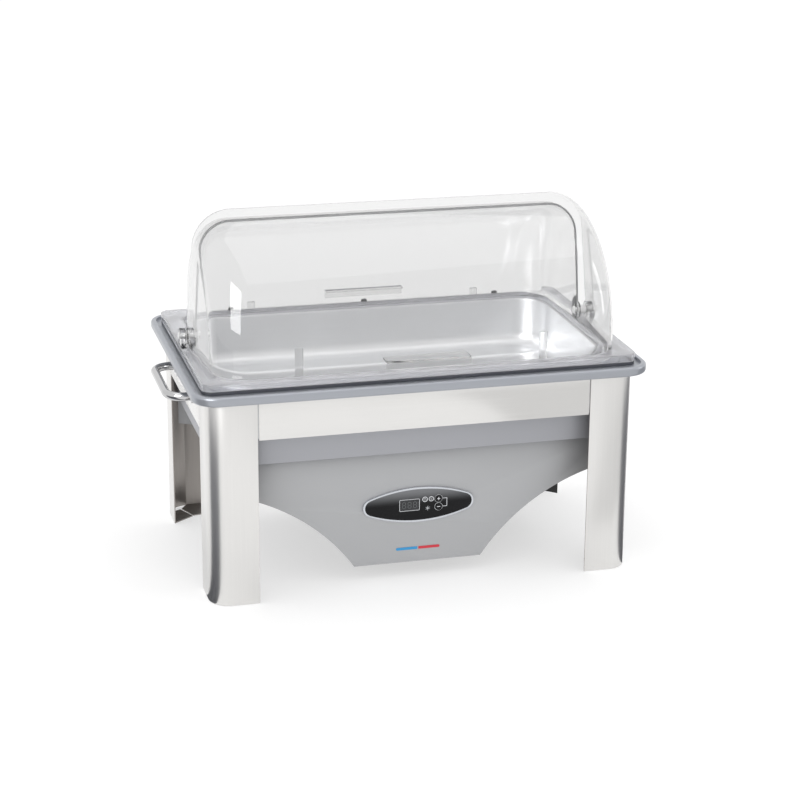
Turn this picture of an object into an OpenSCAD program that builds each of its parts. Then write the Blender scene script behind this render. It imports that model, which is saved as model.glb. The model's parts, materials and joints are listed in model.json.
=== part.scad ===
// Electric roll top chafer: a sheet metal stand with a cooled or heated well, a full size food pan,
// and a clear cover whose two halves roll back over one another.
// Millimetres. X to the right, Y to the back, Z up, origin on the floor under the middle.

/* [Stand] */
// Width over the legs
frame_w = 550; // [500:5:660]
// Depth over the legs
frame_d = 358; // [330:2:430]
// Height of the legs, from the floor to the underside of the rim
leg_h = 266; // [235:1:320]
// Width of a leg's front or rear flange
leg_front_w = 61; // [50:1:74]
// Width of a leg's side flange
leg_side_w = 66; // [54:1:78]
// Outer radius of a leg's rounded corner
corner_r = 27; // [20:1:32]
// Thickness of the stand's sheet steel
sheet = 1.5; // [1:0.1:2]
// Height of the aprons between the legs
apron_h = 50; // [44:1:60]
// Gap between an apron and its neighbours
apron_gap = 1.5; // [0.5:0.1:3]
// Thickness of the pads under the feet
pad_t = 0.8; // [0.5:0.1:3]

/* [Rim] */
// Height of the rim's lip
rim_h = 12; // [10:0.5:16]
// Overhang of the rim past the legs at each side
rim_over_x = 17.5; // [14:0.5:22]
// Overhang of the rim past the legs at front and rear
rim_over_y = 13; // [10:0.5:18]
// Outer corner radius of the rim
rim_r = 33; // [24:1:38]
// Width of the raised lip round the rim
lip_w = 7; // [5:0.5:9]
// Depth of the channel behind the lip
channel_depth = 4; // [2:0.5:5]

/* [Pan] */
// Margin between the leg faces and the pan's flange, at each side
pan_margin_x = 10; // [8:0.5:14]
// Margin between the leg faces and the pan's flange, at front and rear
pan_margin_y = 16.5; // [14:0.5:20]
// Width of the pan's flange
pan_flange = 13; // [10:0.5:15]
// Depth of the pan below its flange
pan_depth = 65; // [40:1:66]
// Sheet thickness of the pan
pan_t = 0.8; // [0.6:0.1:1.2]
// Inner corner radius of the pan
pan_r = 40; // [30:1:48]
// Height of the pan's turned down edge
pan_edge = 2.5; // [2:0.1:4]

/* [Cover] */
// Radius of the front half, which is the outer one
outer_r = 163; // [161:0.5:168]
// Radius of the rear half, which is the inner one
inner_r = 147; // [142:0.5:148]
// Gap between the cover tray's edge and the front half's end wall, at the pivot
outer_inset = 8.5; // [8.5:0.5:10]
// How much narrower the rear half is, at each end
inner_inset = 13; // [12:0.5:15]
// Slope of the front half's end walls
outer_draft = 4.5; // [3:0.1:5]
// Slope of the rear half's end walls
inner_draft = 3; // [2:0.1:3.5]
// Rounding between the end walls and the arch of the front half
outer_c = 50; // [40:1:56]
// Rounding between the end walls and the arch of the rear half
inner_c = 42; // [34:1:46]
// Wall of the clear halves
hood_t = 2.5; // [2:0.1:3]
// Height of the pivot above the cover tray
pivot_h = 13.3; // [13:0.1:18]
// Gap between the cover tray and the lower edges of the halves
skirt_gap = 0.8; // [0.5:0.1:2]
// Radius of the pivot pins
pin_r = 3; // [2.5:0.1:4]
// Radial clearance of the halves on the pins
pin_fit = 0.05; // [0.03:0.01:0.1]
// Height of the cover tray
tray_h = 9.7; // [8:0.1:12]
// How far the cover tray reaches past the pan's flange, at each side
tray_over_x = 14.5; // [12:0.5:16]
// How far the cover tray reaches past the pan's flange, at front and rear
tray_over_y = 6.5; // [5:0.5:8]
// Wall of the cover tray
tray_t = 2.5; // [2:0.1:3]
// Width of the finger grips on the cover
grip_w = 108; // [90:2:130]
// How far the front grip stands out from the hood
grip_out = 22; // [18:1:26]

/* [Casing] */
// Gap between the legs and the well casing, at each side
casing_gap_x = 11; // [9:0.5:14]
// Gap between the legs and the well casing, at front and rear
casing_gap_y = 19; // [16:0.5:22]
// Height of the well casing
casing_h = 86.8; // [80:0.2:90]
// Sheet thickness of the casing and its panels
panel_t = 1.2; // [0.8:0.1:1.6]
// How far the front and rear panels stand behind the casing
panel_inset = 19; // [14:0.5:24]
// Half width of the panel's flat lower edge
panel_flat = 84; // [78:1:96]
// Height of the panel's lower edge above the floor
panel_z = 21.5; // [14:0.5:26]
// Radius of the arcs cut from the panel
arc_r = 270; // [240:1:290]
// Inset of the under shell behind the panel's outline
shell_inset = 5; // [3:0.5:8]
// Half width of the under shell
shell_half = 180; // [176:1:190]

/* [Controls] */
// Width of the oval control panel
control_w = 146; // [136:1:160]
// Height of the oval control panel
control_h = 47; // [44:1:52]
// Height of the control panel's centre above the floor
control_z = 100; // [92:1:104]
// Width of the light bezel round the control panel
bezel_w = 2.6; // [2:0.1:4]
// Travel of the keys
key_travel = 0.8; // [0.4:0.1:1]
// Clearance round a key
key_fit = 0.15; // [0.1:0.01:0.3]

/* [Handles] */
// Distance between the two arms of a handle
handle_span = 132; // [110:2:140]
// How far a handle stands out from the side apron
handle_out = 36; // [30:1:44]
// Radius of the handle's bar
bar_r = 5.5; // [4:0.1:6]
// Radius of the bends on the bar's centre line
bend_r = 22; // [16:0.5:26]

/* [Internals] */
// Length of the cold plate under the well
plate_w = 300; // [280:5:340]
// Width of the cold plate
plate_d = 200; // [180:5:220]
// Half of the distance between the two heat sinks' centres
sink_x = 60; // [56:1:70]
// Side of a heat sink
sink_w = 100; // [90:2:106]
// Side of a fan
fan_w = 92; // [80:1:92]
// Radius of a fan's axle
axle_r = 3; // [2:0.1:4]
// Number of blades on each fan
blades = 7; // [5:1:9]

/* [Hidden] */
$fn = 96;
eps = 0.01;
hair = 0.3;

// Heights, from the rim down and up
rim_z = leg_h;
ledge_z = rim_z + rim_h - 1.5;
channel_z = rim_z + rim_h - channel_depth;
rim_top = rim_z + rim_h;
pan_top = ledge_z + pan_edge;
pan_floor = pan_top - pan_depth;
tray_z = pan_top;
tray_top = tray_z + tray_h;
pivot_z = tray_top + pivot_h;
skirt_z = tray_top + skirt_gap;
liner_t = 1.2;
liner_top = rim_z;
liner_clear = 8;
liner_floor = pan_floor - liner_clear;
plate_t = 8;
peltier_t = 4;
plate_z = liner_floor - liner_t - plate_t;
peltier_z = plate_z - peltier_t;
sink_base_t = 8;
sink_base_z = peltier_z - sink_base_t;
casing_top = liner_top - liner_t;
casing_z = casing_top - casing_h;
fan_z_top = casing_z - 28;
fan_t = 25;
chassis_t = 2;
chassis_drop = 2;

// Plan sizes
rim_w = frame_w + 2 * rim_over_x;
rim_d = frame_d + 2 * rim_over_y;
pan_w = frame_w - 2 * pan_margin_x;
pan_d = frame_d - 2 * pan_margin_y;
pan_in_w = pan_w - 2 * pan_flange;
pan_in_d = pan_d - 2 * pan_flange;
hole_w = pan_in_w + 8;
hole_d = pan_in_d + 8;
liner_w = hole_w + 2;
liner_d = hole_d + 2;
casing_w = frame_w - 2 * casing_gap_x;
casing_d = frame_d - 2 * casing_gap_y;
tray_w = pan_w + 2 * tray_over_x;
tray_d = pan_d + 2 * tray_over_y;
tray_r = 14;
tray_hole_w = pan_in_w + 4;
tray_hole_d = pan_in_d + 4;
panel_w = casing_w - 4;
panel_y = casing_d / 2 - panel_inset;
outer_w0 = tray_w / 2 - outer_inset;
inner_w0 = outer_w0 - inner_inset;
bracket_x = outer_w0 + 1.5;
bracket_t = 7;

// Weld studs that hold the legs and aprons to the chassis frame
stud_r = 2.5;
stud_len = 8;
stud_z = leg_h - 30;
chassis_w = frame_w - 2 * sheet;
chassis_d = frame_d - 2 * sheet;

// Plan outline with rounded corners
module rrect(w, d, r) {
  square([w - 2 * r, d], center = true);
  square([w, d - 2 * r], center = true);
  for (sx = [-1, 1], sy = [-1, 1])
    translate([sx * (w / 2 - r), sy * (d / 2 - r)]) circle(r);
}

// Upright wall between two rounded outlines
module ring(w, d, r, t, h) {
  linear_extrude(h) difference() {
    rrect(w, d, r);
    rrect(w - 2 * t, d - 2 * t, max(r - t, 0.5));
  }
}

// Carries a section round a rounded outline: x runs outward from it, y runs up
module sweep(w, d, r) {
  for (sx = [0, 1]) mirror([sx, 0, 0])
    translate([w / 2, d / 2 - r, 0]) rotate([90, 0, 0]) linear_extrude(d - 2 * r) children();
  for (sy = [0, 1]) mirror([0, sy, 0])
    translate([-(w / 2 - r), d / 2, 0]) rotate([90, 0, 90]) linear_extrude(w - 2 * r) children();
  for (sx = [0, 1], sy = [0, 1]) mirror([sx, 0, 0]) mirror([0, sy, 0])
    translate([w / 2 - r, d / 2 - r, 0]) rotate_extrude(angle = 90) translate([r, 0]) children();
}

module at_corner(right, rear) {
  mirror([right, 0, 0]) mirror([0, rear, 0])
    translate([-frame_w / 2, -frame_d / 2, 0]) children();
}

// Cylinder along X or Y
module rod_x(r, l) { rotate([0, 90, 0]) cylinder(r = r, h = l); }
module rod_y(r, l) { rotate([-90, 0, 0]) cylinder(r = r, h = l); }

// ---- Stand -------------------------------------------------------------------------------------

// Corner sheet with two folded feet, in the coordinates of its own corner
foot_depth = 40;
foot_mitre = 46;
foot_side = 28;
foot_taper = 14;
stud_in_leg = 14;
stud_in_apron = 20;
module leg() {
  r = corner_r;
  low = pad_t;
  inside = r * 0.6;
  color("gainsboro") translate([0, 0, low]) {
    linear_extrude(leg_h - low) intersection() {
      difference() {
        translate([frame_w / 2, frame_d / 2]) rrect(frame_w, frame_d, r);
        translate([frame_w / 2, frame_d / 2])
          rrect(frame_w - 2 * sheet, frame_d - 2 * sheet, r - sheet);
      }
      square([leg_front_w, leg_side_w]);
    }
    // side foot
    linear_extrude(sheet) polygon([[sheet / 2, leg_side_w], [foot_side, foot_mitre],
      [inside - 1, inside + 2], [sheet / 2, r]]);
    // front foot
    linear_extrude(sheet) polygon([[leg_front_w, sheet / 2], [leg_front_w - foot_taper, foot_depth],
      [foot_side + 1.5, foot_mitre - 2], [inside + 1.5, inside], [r, sheet / 2]]);
    // weld studs
    translate([leg_front_w - stud_in_leg, sheet / 2, stud_z - low]) rod_y(stud_r, stud_len);
    translate([sheet / 2, leg_side_w - stud_in_leg, stud_z - low]) rod_x(stud_r, stud_len);
  }
}
module leg_front_left() { at_corner(0, 0) leg(); }
module leg_front_right() { at_corner(1, 0) leg(); }
module leg_rear_left() { at_corner(0, 1) leg(); }
module leg_rear_right() { at_corner(1, 1) leg(); }

module foot_pads() {
  color("dimgray") for (i = [0, 1], j = [0, 1]) at_corner(i, j)
    translate([leg_front_w - 20, 22, 0]) cylinder(r = 11, h = pad_t);
}

// Flat apron plate lying in XZ with its outer face at y = 0, centred on x = 0
module apron_plate(w) {
  color("gainsboro") {
    translate([-w / 2, 0, leg_h - apron_h]) cube([w, sheet, apron_h]);
    for (s = [-1, 1]) translate([s * (w / 2 - stud_in_apron), sheet / 2, stud_z]) rod_y(stud_r, stud_len);
  }
}
apron_front_w = frame_w - 2 * leg_front_w - 2 * apron_gap;
apron_side_w = frame_d - 2 * leg_side_w - 2 * apron_gap;
module apron_front() { translate([0, -frame_d / 2, 0]) apron_plate(apron_front_w); }
module apron_rear() { mirror([0, 1, 0]) apron_front(); }
module apron_right() {
  difference() {
    translate([frame_w / 2, 0, 0]) rotate([0, 0, 90]) apron_plate(apron_side_w);
    handle_bolt_holes();
  }
}
module apron_left() { mirror([1, 0, 0]) apron_right(); }

// Ring behind the legs and aprons, with an inward flange that carries the well casing
chassis_z = leg_h - apron_h + chassis_drop;
module chassis_frame() {
  color("silver") difference() {
    union() {
      translate([0, 0, chassis_z])
        ring(chassis_w, chassis_d, corner_r - sheet, chassis_t, leg_h - chassis_drop - chassis_z);
      translate([0, 0, chassis_z]) linear_extrude(chassis_t) difference() {
        rrect(chassis_w - chassis_t, chassis_d - chassis_t, corner_r - sheet);
        square([casing_w, casing_d], center = true);
      }
    }
    stud_places() cylinder(r = stud_r + hair, h = 12, center = true);
    for (s = [0, 1]) mirror([s, 0, 0]) handle_bolt_holes();
  }
}

// Every weld stud, as a frame whose Z runs along the stud and starts on the chassis frame's outer face
module stud_places() {
  for (i = [0, 1], j = [0, 1]) at_corner(i, j) {
    translate([leg_front_w - stud_in_leg, sheet, stud_z]) rotate([-90, 0, 0]) children();
    translate([sheet, leg_side_w - stud_in_leg, stud_z]) rotate([0, 90, 0]) children();
  }
  for (s = [-1, 1], j = [0, 1]) {
    mirror([0, j, 0]) translate([s * (apron_front_w / 2 - stud_in_apron), sheet - frame_d / 2, stud_z])
      rotate([-90, 0, 0]) children();
    mirror([j, 0, 0]) translate([sheet - frame_w / 2, s * (apron_side_w / 2 - stud_in_apron), stud_z])
      rotate([0, 90, 0]) children();
  }
}

// Nut bored a hair over its stud
module nut(bore) {
  difference() {
    cylinder(r = bore * 1.75, h = 3, $fn = 6);
    translate([0, 0, -1]) cylinder(r = bore, h = 5);
  }
}
module chassis_nuts() {
  color("silver") stud_places() translate([0, 0, chassis_t]) nut(stud_r + eps);
}

// Rim: flat ledge with the well opening, a channel, and a rounded lip
module top_rim() {
  edge = 3.5;
  color("lightsteelblue") {
    difference() {
      union() {
        translate([0, 0, rim_z]) linear_extrude(channel_z - rim_z)
          rrect(rim_w - 2 * edge, rim_d - 2 * edge, rim_r - edge);
        translate([0, 0, channel_z - eps]) linear_extrude(ledge_z - channel_z + eps)
          rrect(pan_w + 6, pan_d + 4, pan_r - 8);
      }
      translate([0, 0, rim_z - 1]) linear_extrude(rim_h + 2) rrect(hole_w, hole_d, pan_r);
    }
    sweep(rim_w, rim_d, rim_r) translate([0, rim_z]) rim_lip(edge);
  }
}
// Seal strip that stands in the rim's channel, under the edge of the cover tray
module rim_gasket() {
  gap = 0.5;
  color("black") translate([0, 0, channel_z])
    ring(tray_w - 2 * gap, tray_d - 2 * gap, tray_r - gap, 3, tray_z - gap - channel_z);
}
module rim_lip(edge) {
  polygon([[-lip_w, 0], [-edge, 0], [0, edge], [0, rim_h - edge], [-edge, rim_h], [-lip_w, rim_h]]);
  for (z = [edge, rim_h - edge]) translate([-edge, z]) circle(edge);
}

// ---- Well --------------------------------------------------------------------------------------

liner_r = pan_r + 1;
module well_liner() {
  fillet = 14;
  color("lightgray") {
    translate([0, 0, liner_top - liner_t]) linear_extrude(liner_t) difference() {
      rrect(casing_w + 10, casing_d + 14, pan_r + 4);
      rrect(liner_w, liner_d, liner_r);
    }
    sweep(liner_w, liner_d, liner_r) {
      translate([0, liner_floor + fillet]) square([liner_t, liner_top - liner_floor - fillet]);
      translate([-fillet, liner_floor + fillet]) quarter_ring(fillet, liner_t);
    }
    translate([0, 0, liner_floor - liner_t]) linear_extrude(liner_t)
      rrect(liner_w - 2 * fillet, liner_d - 2 * fillet, liner_r - fillet);
  }
}
// Quarter of a ring in the lower right, outside radius r + t
module quarter_ring(r, t) {
  intersection() {
    difference() {
      circle(r + t);
      circle(r);
    }
    translate([0, -r - t]) square(r + t);
  }
}

module insulation() {
  gap = 0.4;
  pocket = plate_w + 4;
  color("white") difference() {
    translate([0, 0, casing_z + panel_t]) linear_extrude(casing_top - casing_z - panel_t)
      square([casing_w - 2 * panel_t, casing_d - 2 * panel_t], center = true);
    translate([0, 0, liner_floor - liner_t])
      linear_extrude(casing_top - liner_floor + liner_t + 1)
      rrect(liner_w + 2 * liner_t + gap, liner_d + 2 * liner_t + gap, liner_r + liner_t);
    translate([-pocket / 2, -plate_d / 2 - 2, casing_z]) cube([pocket, plate_d + 4, casing_h]);
    panel_screw_places() cylinder(r = screw_r + 1, h = 14, center = true);
  }
}

sink_hole = sink_w + 4;
module well_casing() {
  color("darkgray") difference() {
    translate([-casing_w / 2, -casing_d / 2, casing_z]) cube([casing_w, casing_d, casing_h]);
    translate([-casing_w / 2 + panel_t, -casing_d / 2 + panel_t, casing_z + panel_t])
      cube([casing_w - 2 * panel_t, casing_d - 2 * panel_t, casing_h]);
    for (s = [-1, 1]) translate([s * sink_x - sink_hole / 2, -sink_hole / 2, casing_z - 1])
      cube([sink_hole, sink_hole, 4]);
    panel_screw_places() cylinder(r = screw_r + eps, h = 12, center = true);
  }
}

module cold_plate() {
  color("silver") translate([-plate_w / 2, -plate_d / 2, plate_z]) cube([plate_w, plate_d, plate_t]);
}
module peltier_modules() {
  side = 40;
  color("white") for (s = [-1, 1], t = [-1, 1])
    translate([s * sink_x - side / 2, t * 24 - side / 2, peltier_z]) cube([side, side, peltier_t]);
}

sink_fins = 14;
sink_fin_t = 2;
module heat_sink(x) {
  pitch = (sink_w - sink_fin_t) / (sink_fins - 1);
  color("silver") translate([x, 0, 0]) {
    translate([-sink_w / 2, -sink_w / 2, sink_base_z]) cube([sink_w, sink_w, sink_base_t]);
    for (i = [0:sink_fins - 1]) translate([-sink_w / 2 + i * pitch, -sink_w / 2, fan_z_top])
      cube([sink_fin_t, sink_w, sink_base_z - fan_z_top + eps]);
  }
}
module heat_sink_left() { heat_sink(-sink_x); }
module heat_sink_right() { heat_sink(sink_x); }

// Square fan frame with a spider that holds the axle
fan_z = fan_z_top - fan_t;
hub_r = 19;
module fan_frame(x) {
  duct = fan_w / 2 - 2.5;
  color("dimgray") translate([x, 0, fan_z]) {
    difference() {
      linear_extrude(fan_t) rrect(fan_w, fan_w, 6);
      translate([0, 0, -1]) cylinder(r = duct, h = fan_t + 2);
    }
    cylinder(r = hub_r, h = 3);
    for (a = [45:90:315]) rotate(a) translate([hub_r - 1, -2, 0]) cube([duct - hub_r + 2, 4, 3]);
    cylinder(r = axle_r, h = fan_t - 4);
  }
}
module fan_frame_left() { fan_frame(-sink_x); }
module fan_frame_right() { fan_frame(sink_x); }

module fan_rotor(x) {
  tip = fan_w / 2 - 4.5;
  low = 3.6;
  tall = fan_t - low - 3;
  color("black") translate([x, 0, fan_z + low]) difference() {
    union() {
      cylinder(r = hub_r, h = tall);
      for (i = [0:blades - 1]) rotate(i * 360 / blades) translate([hub_r - 2, 0, tall / 2])
        rotate([38, 0, 0]) translate([0, -9, -0.8]) cube([tip - hub_r, 18, 1.6]);
    }
    translate([0, 0, -1]) cylinder(r = axle_r + 0.05, h = tall + 2);
  }
}
module fan_rotor_left() { fan_rotor(-sink_x); }
module fan_rotor_right() { fan_rotor(sink_x); }

// ---- Panels under the casing -------------------------------------------------------------------

// Centre of the arc that leaves the panel's flat lower edge, on the right
arc_top = 128.5;
arc_edge = panel_w / 2 - 32;
mid_x = (panel_flat + arc_edge) / 2;
mid_z = (panel_z + arc_top) / 2;
chord = norm([arc_edge - panel_flat, arc_top - panel_z]);
rise = sqrt(arc_r * arc_r - chord * chord / 4);
arc_x = mid_x + rise * (arc_top - panel_z) / chord;
arc_z = mid_z - rise * (arc_edge - panel_flat) / chord;

// Panel outline in XZ, pulled in by an amount and with an upper limit and a half width
module panel_outline(inset, half, top) {
  difference() {
    translate([-half, panel_z + inset]) square([2 * half, top - panel_z - inset]);
    for (s = [-1, 1]) translate([s * arc_x, arc_z]) circle(arc_r + inset);
  }
}
fold = 8;
module panel_sheet() {
  half = panel_w / 2;
  rotate([90, 0, 0]) linear_extrude(panel_t) panel_outline(0, half, casing_z);
  // lower edge folded back
  translate([0, fold - panel_t, 0]) rotate([90, 0, 0]) linear_extrude(fold) difference() {
    panel_outline(0, half, arc_top);
    panel_outline(panel_t, half + 1, arc_top + 1);
  }
  // top edge folded back under the casing
  translate([-half, -panel_t, casing_z - panel_t]) cube([2 * half, fold, panel_t]);
}
screw_r = 2;
screw_head_r = 3;
module panel_screw_places() {
  for (j = [0, 1], x = [-0.44, -0.21, 0.21, 0.44]) mirror([0, j, 0])
    translate([x * panel_w, -panel_y + fold - screw_head_r - 0.4, casing_z]) children();
}
module panel_screws() {
  color("silver") panel_screw_places() {
    translate([0, 0, -panel_t - 2]) cylinder(r = screw_head_r, h = 2);
    translate([0, 0, -panel_t - eps]) cylinder(r = screw_r, h = 6);
  }
}

module front_panel() {
  color("darkgray") difference() {
    translate([0, -panel_y + panel_t, 0]) panel_sheet();
    translate([0, 10 - panel_y, control_z]) rotate([90, 0, 0]) linear_extrude(20)
      oval(control_w - 16, control_h - 14);
    panel_screw_places() cylinder(r = screw_r + eps, h = 12, center = true);
  }
}
module rear_panel() {
  slot = 46;
  color("darkgray") difference() {
    mirror([0, 1, 0]) translate([0, -panel_y + panel_t, 0]) panel_sheet();
    for (x = [-sink_x, sink_x], i = [0:5])
      translate([x - slot / 2, panel_y - 10, panel_z + 40 + i * 13]) cube([slot, 20, 5]);
    panel_screw_places() cylinder(r = screw_r + eps, h = 12, center = true);
  }
}

// Curved tray between the panels, closed above by the casing
module under_shell() {
  t = 1.5;
  len = 2 * (panel_y - fold - 1);
  vent = 70;
  color("black") difference() {
    translate([0, len / 2, 0]) rotate([90, 0, 0]) linear_extrude(len) difference() {
      panel_outline(shell_inset, shell_half, casing_z);
      panel_outline(shell_inset + t, shell_half - t, casing_z + 1);
    }
    for (s = [-1, 1], i = [-3:3])
      translate([s * 55 - vent / 2, i * 24 - 3, panel_z]) cube([vent, 6, 12]);
  }
}

// Mains box on the shell's right side, its underside sloping up toward the middle
box_w = 43;
box_y0 = -40;
box_y1 = 45;
box_z = 57;
module mains_box() {
  t = 2;
  color("black") difference() {
    mains_outline(0, box_y1 - box_y0, box_y1);
    mains_outline(t, box_y1 - box_y0 - t - 2, box_y1 - 2);
    translate([inlet_x - 14, box_y1 - 10, inlet_z - 11]) cube([28, 20, 22]);
    translate([inlet_x - 13.5, box_y1 - 10, switch_z - 7]) cube([27, 20, 14]);
  }
}
module mains_outline(t, len, y) {
  translate([0, y, 0]) rotate([90, 0, 0]) linear_extrude(len)
    polygon([[shell_half + t, box_z + 9 + t], [shell_half + 10, box_z + 9 + t],
      [shell_half + 25, box_z + 5 + t], [shell_half + box_w - t, box_z + t],
      [shell_half + box_w - t, casing_z - t], [shell_half + t, casing_z - t]]);
}
inlet_x = shell_half + 22;
inlet_z = box_z + 31;
inlet_deep = 20;
switch_z = inlet_z + 22;
module mains_inlet() {
  color("black") difference() {
    union() {
      translate([inlet_x - 14, box_y1 - inlet_deep, inlet_z - 11]) cube([28, inlet_deep, 22]);
      translate([inlet_x - 16, box_y1, inlet_z - 13]) cube([32, 2.5, 26]);
    }
    translate([inlet_x - 12, box_y1 - inlet_deep + 3, inlet_z - 8.5]) cube([24, inlet_deep + 3, 17]);
    for (x = [-7, 0, 7]) translate([inlet_x + x, box_y1 - inlet_deep - 2, inlet_z + (x == 0 ? 3 : -2)])
      rod_y(1.5 + eps, 8);
  }
}
module inlet_pins() {
  color("silver") for (x = [-7, 0, 7])
    translate([inlet_x + x, box_y1 - inlet_deep - 4, inlet_z + (x == 0 ? 3 : -2)])
      rod_y(1.5, inlet_deep - 1);
}
rocker_y = box_y1 + 0.6;
module rocker_frame() {
  color("black") difference() {
    union() {
      translate([inlet_x - 13.5, box_y1 - 9, switch_z - 7]) cube([27, 9, 14]);
      translate([inlet_x - 15, box_y1, switch_z - 8.6]) cube([30, 1.8, 17.2]);
    }
    translate([inlet_x - 11, box_y1 - 7, switch_z - 6]) cube([22, 12, 12]);
    translate([inlet_x - 12.5, rocker_y - 1.4, switch_z]) rod_x(1.2 + 0.05, 25);
  }
}
// Rocker: a shallow wedge that tips about a pin through its middle
module rocker_switch() {
  color("crimson") {
    translate([inlet_x, 0, switch_z]) rotate([90, 0, 90]) linear_extrude(10.4, center = true)
      polygon([[rocker_y + 2.6, -5.3], [rocker_y + 1.2, 0], [rocker_y + 0.9, 5.3],
        [rocker_y - 2.2, 4.9], [rocker_y - 3.6, 0], [rocker_y - 2.2, -4.9]]);
    translate([inlet_x - 12.2, rocker_y - 1.4, switch_z]) rod_x(1.2, 24.4);
  }
}

module power_supply() {
  color("silver") translate([-70, -30, panel_z + shell_inset + 1.5]) cube([140, 90, 45]);
}

// ---- Control panel -----------------------------------------------------------------------------

// Points along an arc, leaving out its last one
function arc_points(x, y, r, from, to, n) =
  [for (i = [0:n - 1]) let (a = from + (to - from) * i / n) [x + r * cos(a), y + r * sin(a)]];

// Oval with tight round ends and slow upper and lower arcs, lying in a plane
module oval(w, h) {
  end_r = h / 4;
  end_x = w / 2 - end_r;
  big = (end_x * end_x + h * h / 4 - end_r * end_r) / (h - 2 * end_r);
  t = atan2(big - h / 2, end_x);
  polygon(concat(
    arc_points(end_x, 0, end_r, -t, t, 16),
    arc_points(0, h / 2 - big, big, t, 180 - t, 32),
    arc_points(-end_x, 0, end_r, 180 - t, 180 + t, 16),
    arc_points(0, big - h / 2, big, 180 + t, 360 - t, 32)));
}
// Plate on the control panel, from y0 to y1 measured out from the panel's face
module oval_plate(w, h, y0, y1) {
  translate([0, -panel_y - y0, control_z]) rotate([90, 0, 0]) linear_extrude(y1 - y0) oval(w, h);
}
fascia_w = control_w - 2 * bezel_w;
fascia_h = control_h - 2 * bezel_w;
fascia_t = 2;
window_x = -12;
window_w = 25.5;
window_h = 14.5;
lamp_x = 12;
lamp_z = -6;
// Keys: name, x, z from the panel's centre, radius, half sizes of the stop behind the fascia
key_spots = [[26.4, 5.9, 4.9, 6.5, 4.2], [26.4, -5, 4.9, 6.5, 4.2], [8.3, 6.4, 3.1, 3.3, 5],
  [16.6, 6.4, 2.9, 3.1, 5]];

module control_bezel() {
  color("gainsboro") difference() {
    oval_plate(control_w, control_h, 0, 2.6);
    oval_plate(fascia_w, fascia_h, -1, 4);
  }
}
module control_fascia() {
  color("black") difference() {
    oval_plate(fascia_w, fascia_h, 0, fascia_t);
    translate([window_x - window_w / 2, -panel_y - 5, control_z - window_h / 2])
      cube([window_w, 10, window_h]);
    for (k = key_spots) translate([k[0], -panel_y - 5, control_z + k[1]])
      rod_y(k[2] + key_fit, 10);
    translate([lamp_x, -panel_y - 5, control_z + lamp_z]) rod_y(2.2, 10);
  }
}
module display_window() {
  color("darkslategray") translate([window_x - window_w / 2, -panel_y - fascia_t,
    control_z - window_h / 2]) cube([window_w, 1.4, window_h]);
}
module display_module() {
  color("darkred") translate([window_x - 14, -panel_y, control_z - 8]) cube([28, board_gap, 16]);
}
module mode_lamp() {
  color("lightblue") translate([lamp_x, -panel_y - fascia_t, control_z + lamp_z])
    rod_y(2.2, fascia_t + board_gap);
}
board_gap = 7;
module control_board() {
  color("darkgreen") {
    translate([-58, -panel_y + board_gap, control_z - 15]) cube([116, 1.6, 30]);
    for (k = key_spots) translate([k[0] - 2.5, -panel_y + board_gap - 3, control_z + k[1] - 2.5])
      cube([5, 3 + eps, 5]);
    for (x = [-52, 52]) translate([x, -panel_y + panel_t, control_z - 13])
      cube([4, board_gap - panel_t + eps, 26]);
  }
}
// Key cap with a stem behind and a stop that rests on the back of the fascia
module key(i) {
  k = key_spots[i];
  color("darkslategray") translate([k[0], -panel_y, control_z + k[1]]) {
    translate([0, -fascia_t - 0.5, 0]) rod_y(k[2], fascia_t + 1);
    translate([-k[3] + 0.2, 0, -k[4] + 0.2]) cube([2 * k[3] - 0.4, 1, 2 * k[4] - 0.4]);
    rod_y(1.6, board_gap - 3 - key_travel - 0.1);
  }
}
module key_plus() { key(0); }
module key_minus() { key(1); }
module key_power() { key(2); }
module key_mode() { key(3); }

// ---- Handles -----------------------------------------------------------------------------------

handle_z = leg_h - 24;
bolt_r = 2.5;
foot_t = 3;
module handle_bolt_places() {
  for (s = [-1, 1]) translate([frame_w / 2, s * (handle_span / 2 - 17), handle_z]) children();
}
module handle_bolt_holes() {
  handle_bolt_places() rotate([0, 90, 0]) cylinder(r = bolt_r + eps, h = 40, center = true);
}
module handle_right() {
  half = handle_span / 2;
  far = handle_out - bar_r;
  color("silver") {
    translate([frame_w / 2, 0, handle_z]) {
      for (s = [0, 1]) mirror([0, s, 0]) {
        translate([foot_t / 2, half, 0]) rod_x(bar_r, far - bend_r - foot_t / 2);
        translate([far - bend_r, half - bend_r, 0]) rotate_extrude(angle = 90)
          translate([bend_r, 0]) circle(bar_r);
        difference() {
          rotate([90, 0, 90]) linear_extrude(foot_t) {
            translate([half, 0]) circle(9);
            translate([half - 17, -9]) square([17, 18]);
            translate([half - 17, 0]) circle(9);
          }
          translate([0, half - 17, 0]) rotate([0, 90, 0])
            cylinder(r = bolt_r + eps, h = 20, center = true);
        }
      }
      translate([far, -(half - bend_r), 0]) rod_y(bar_r, 2 * (half - bend_r));
    }
  }
}
module handle_left() { mirror([1, 0, 0]) handle_right(); }
module handle_screws() {
  deep = foot_t + sheet + chassis_t + 5;
  color("silver") for (m = [0, 1]) mirror([m, 0, 0]) handle_bolt_places() {
    translate([foot_t - deep, 0, 0]) rod_x(bolt_r, deep + eps);
    translate([foot_t, 0, 0]) rotate([0, 90, 0]) cylinder(r1 = 5, r2 = 3.6, h = 2);
    translate([-sheet - chassis_t, 0, 0]) rotate([0, -90, 0]) nut(bolt_r - eps);
  }
}

// ---- Pan ---------------------------------------------------------------------------------------

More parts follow.
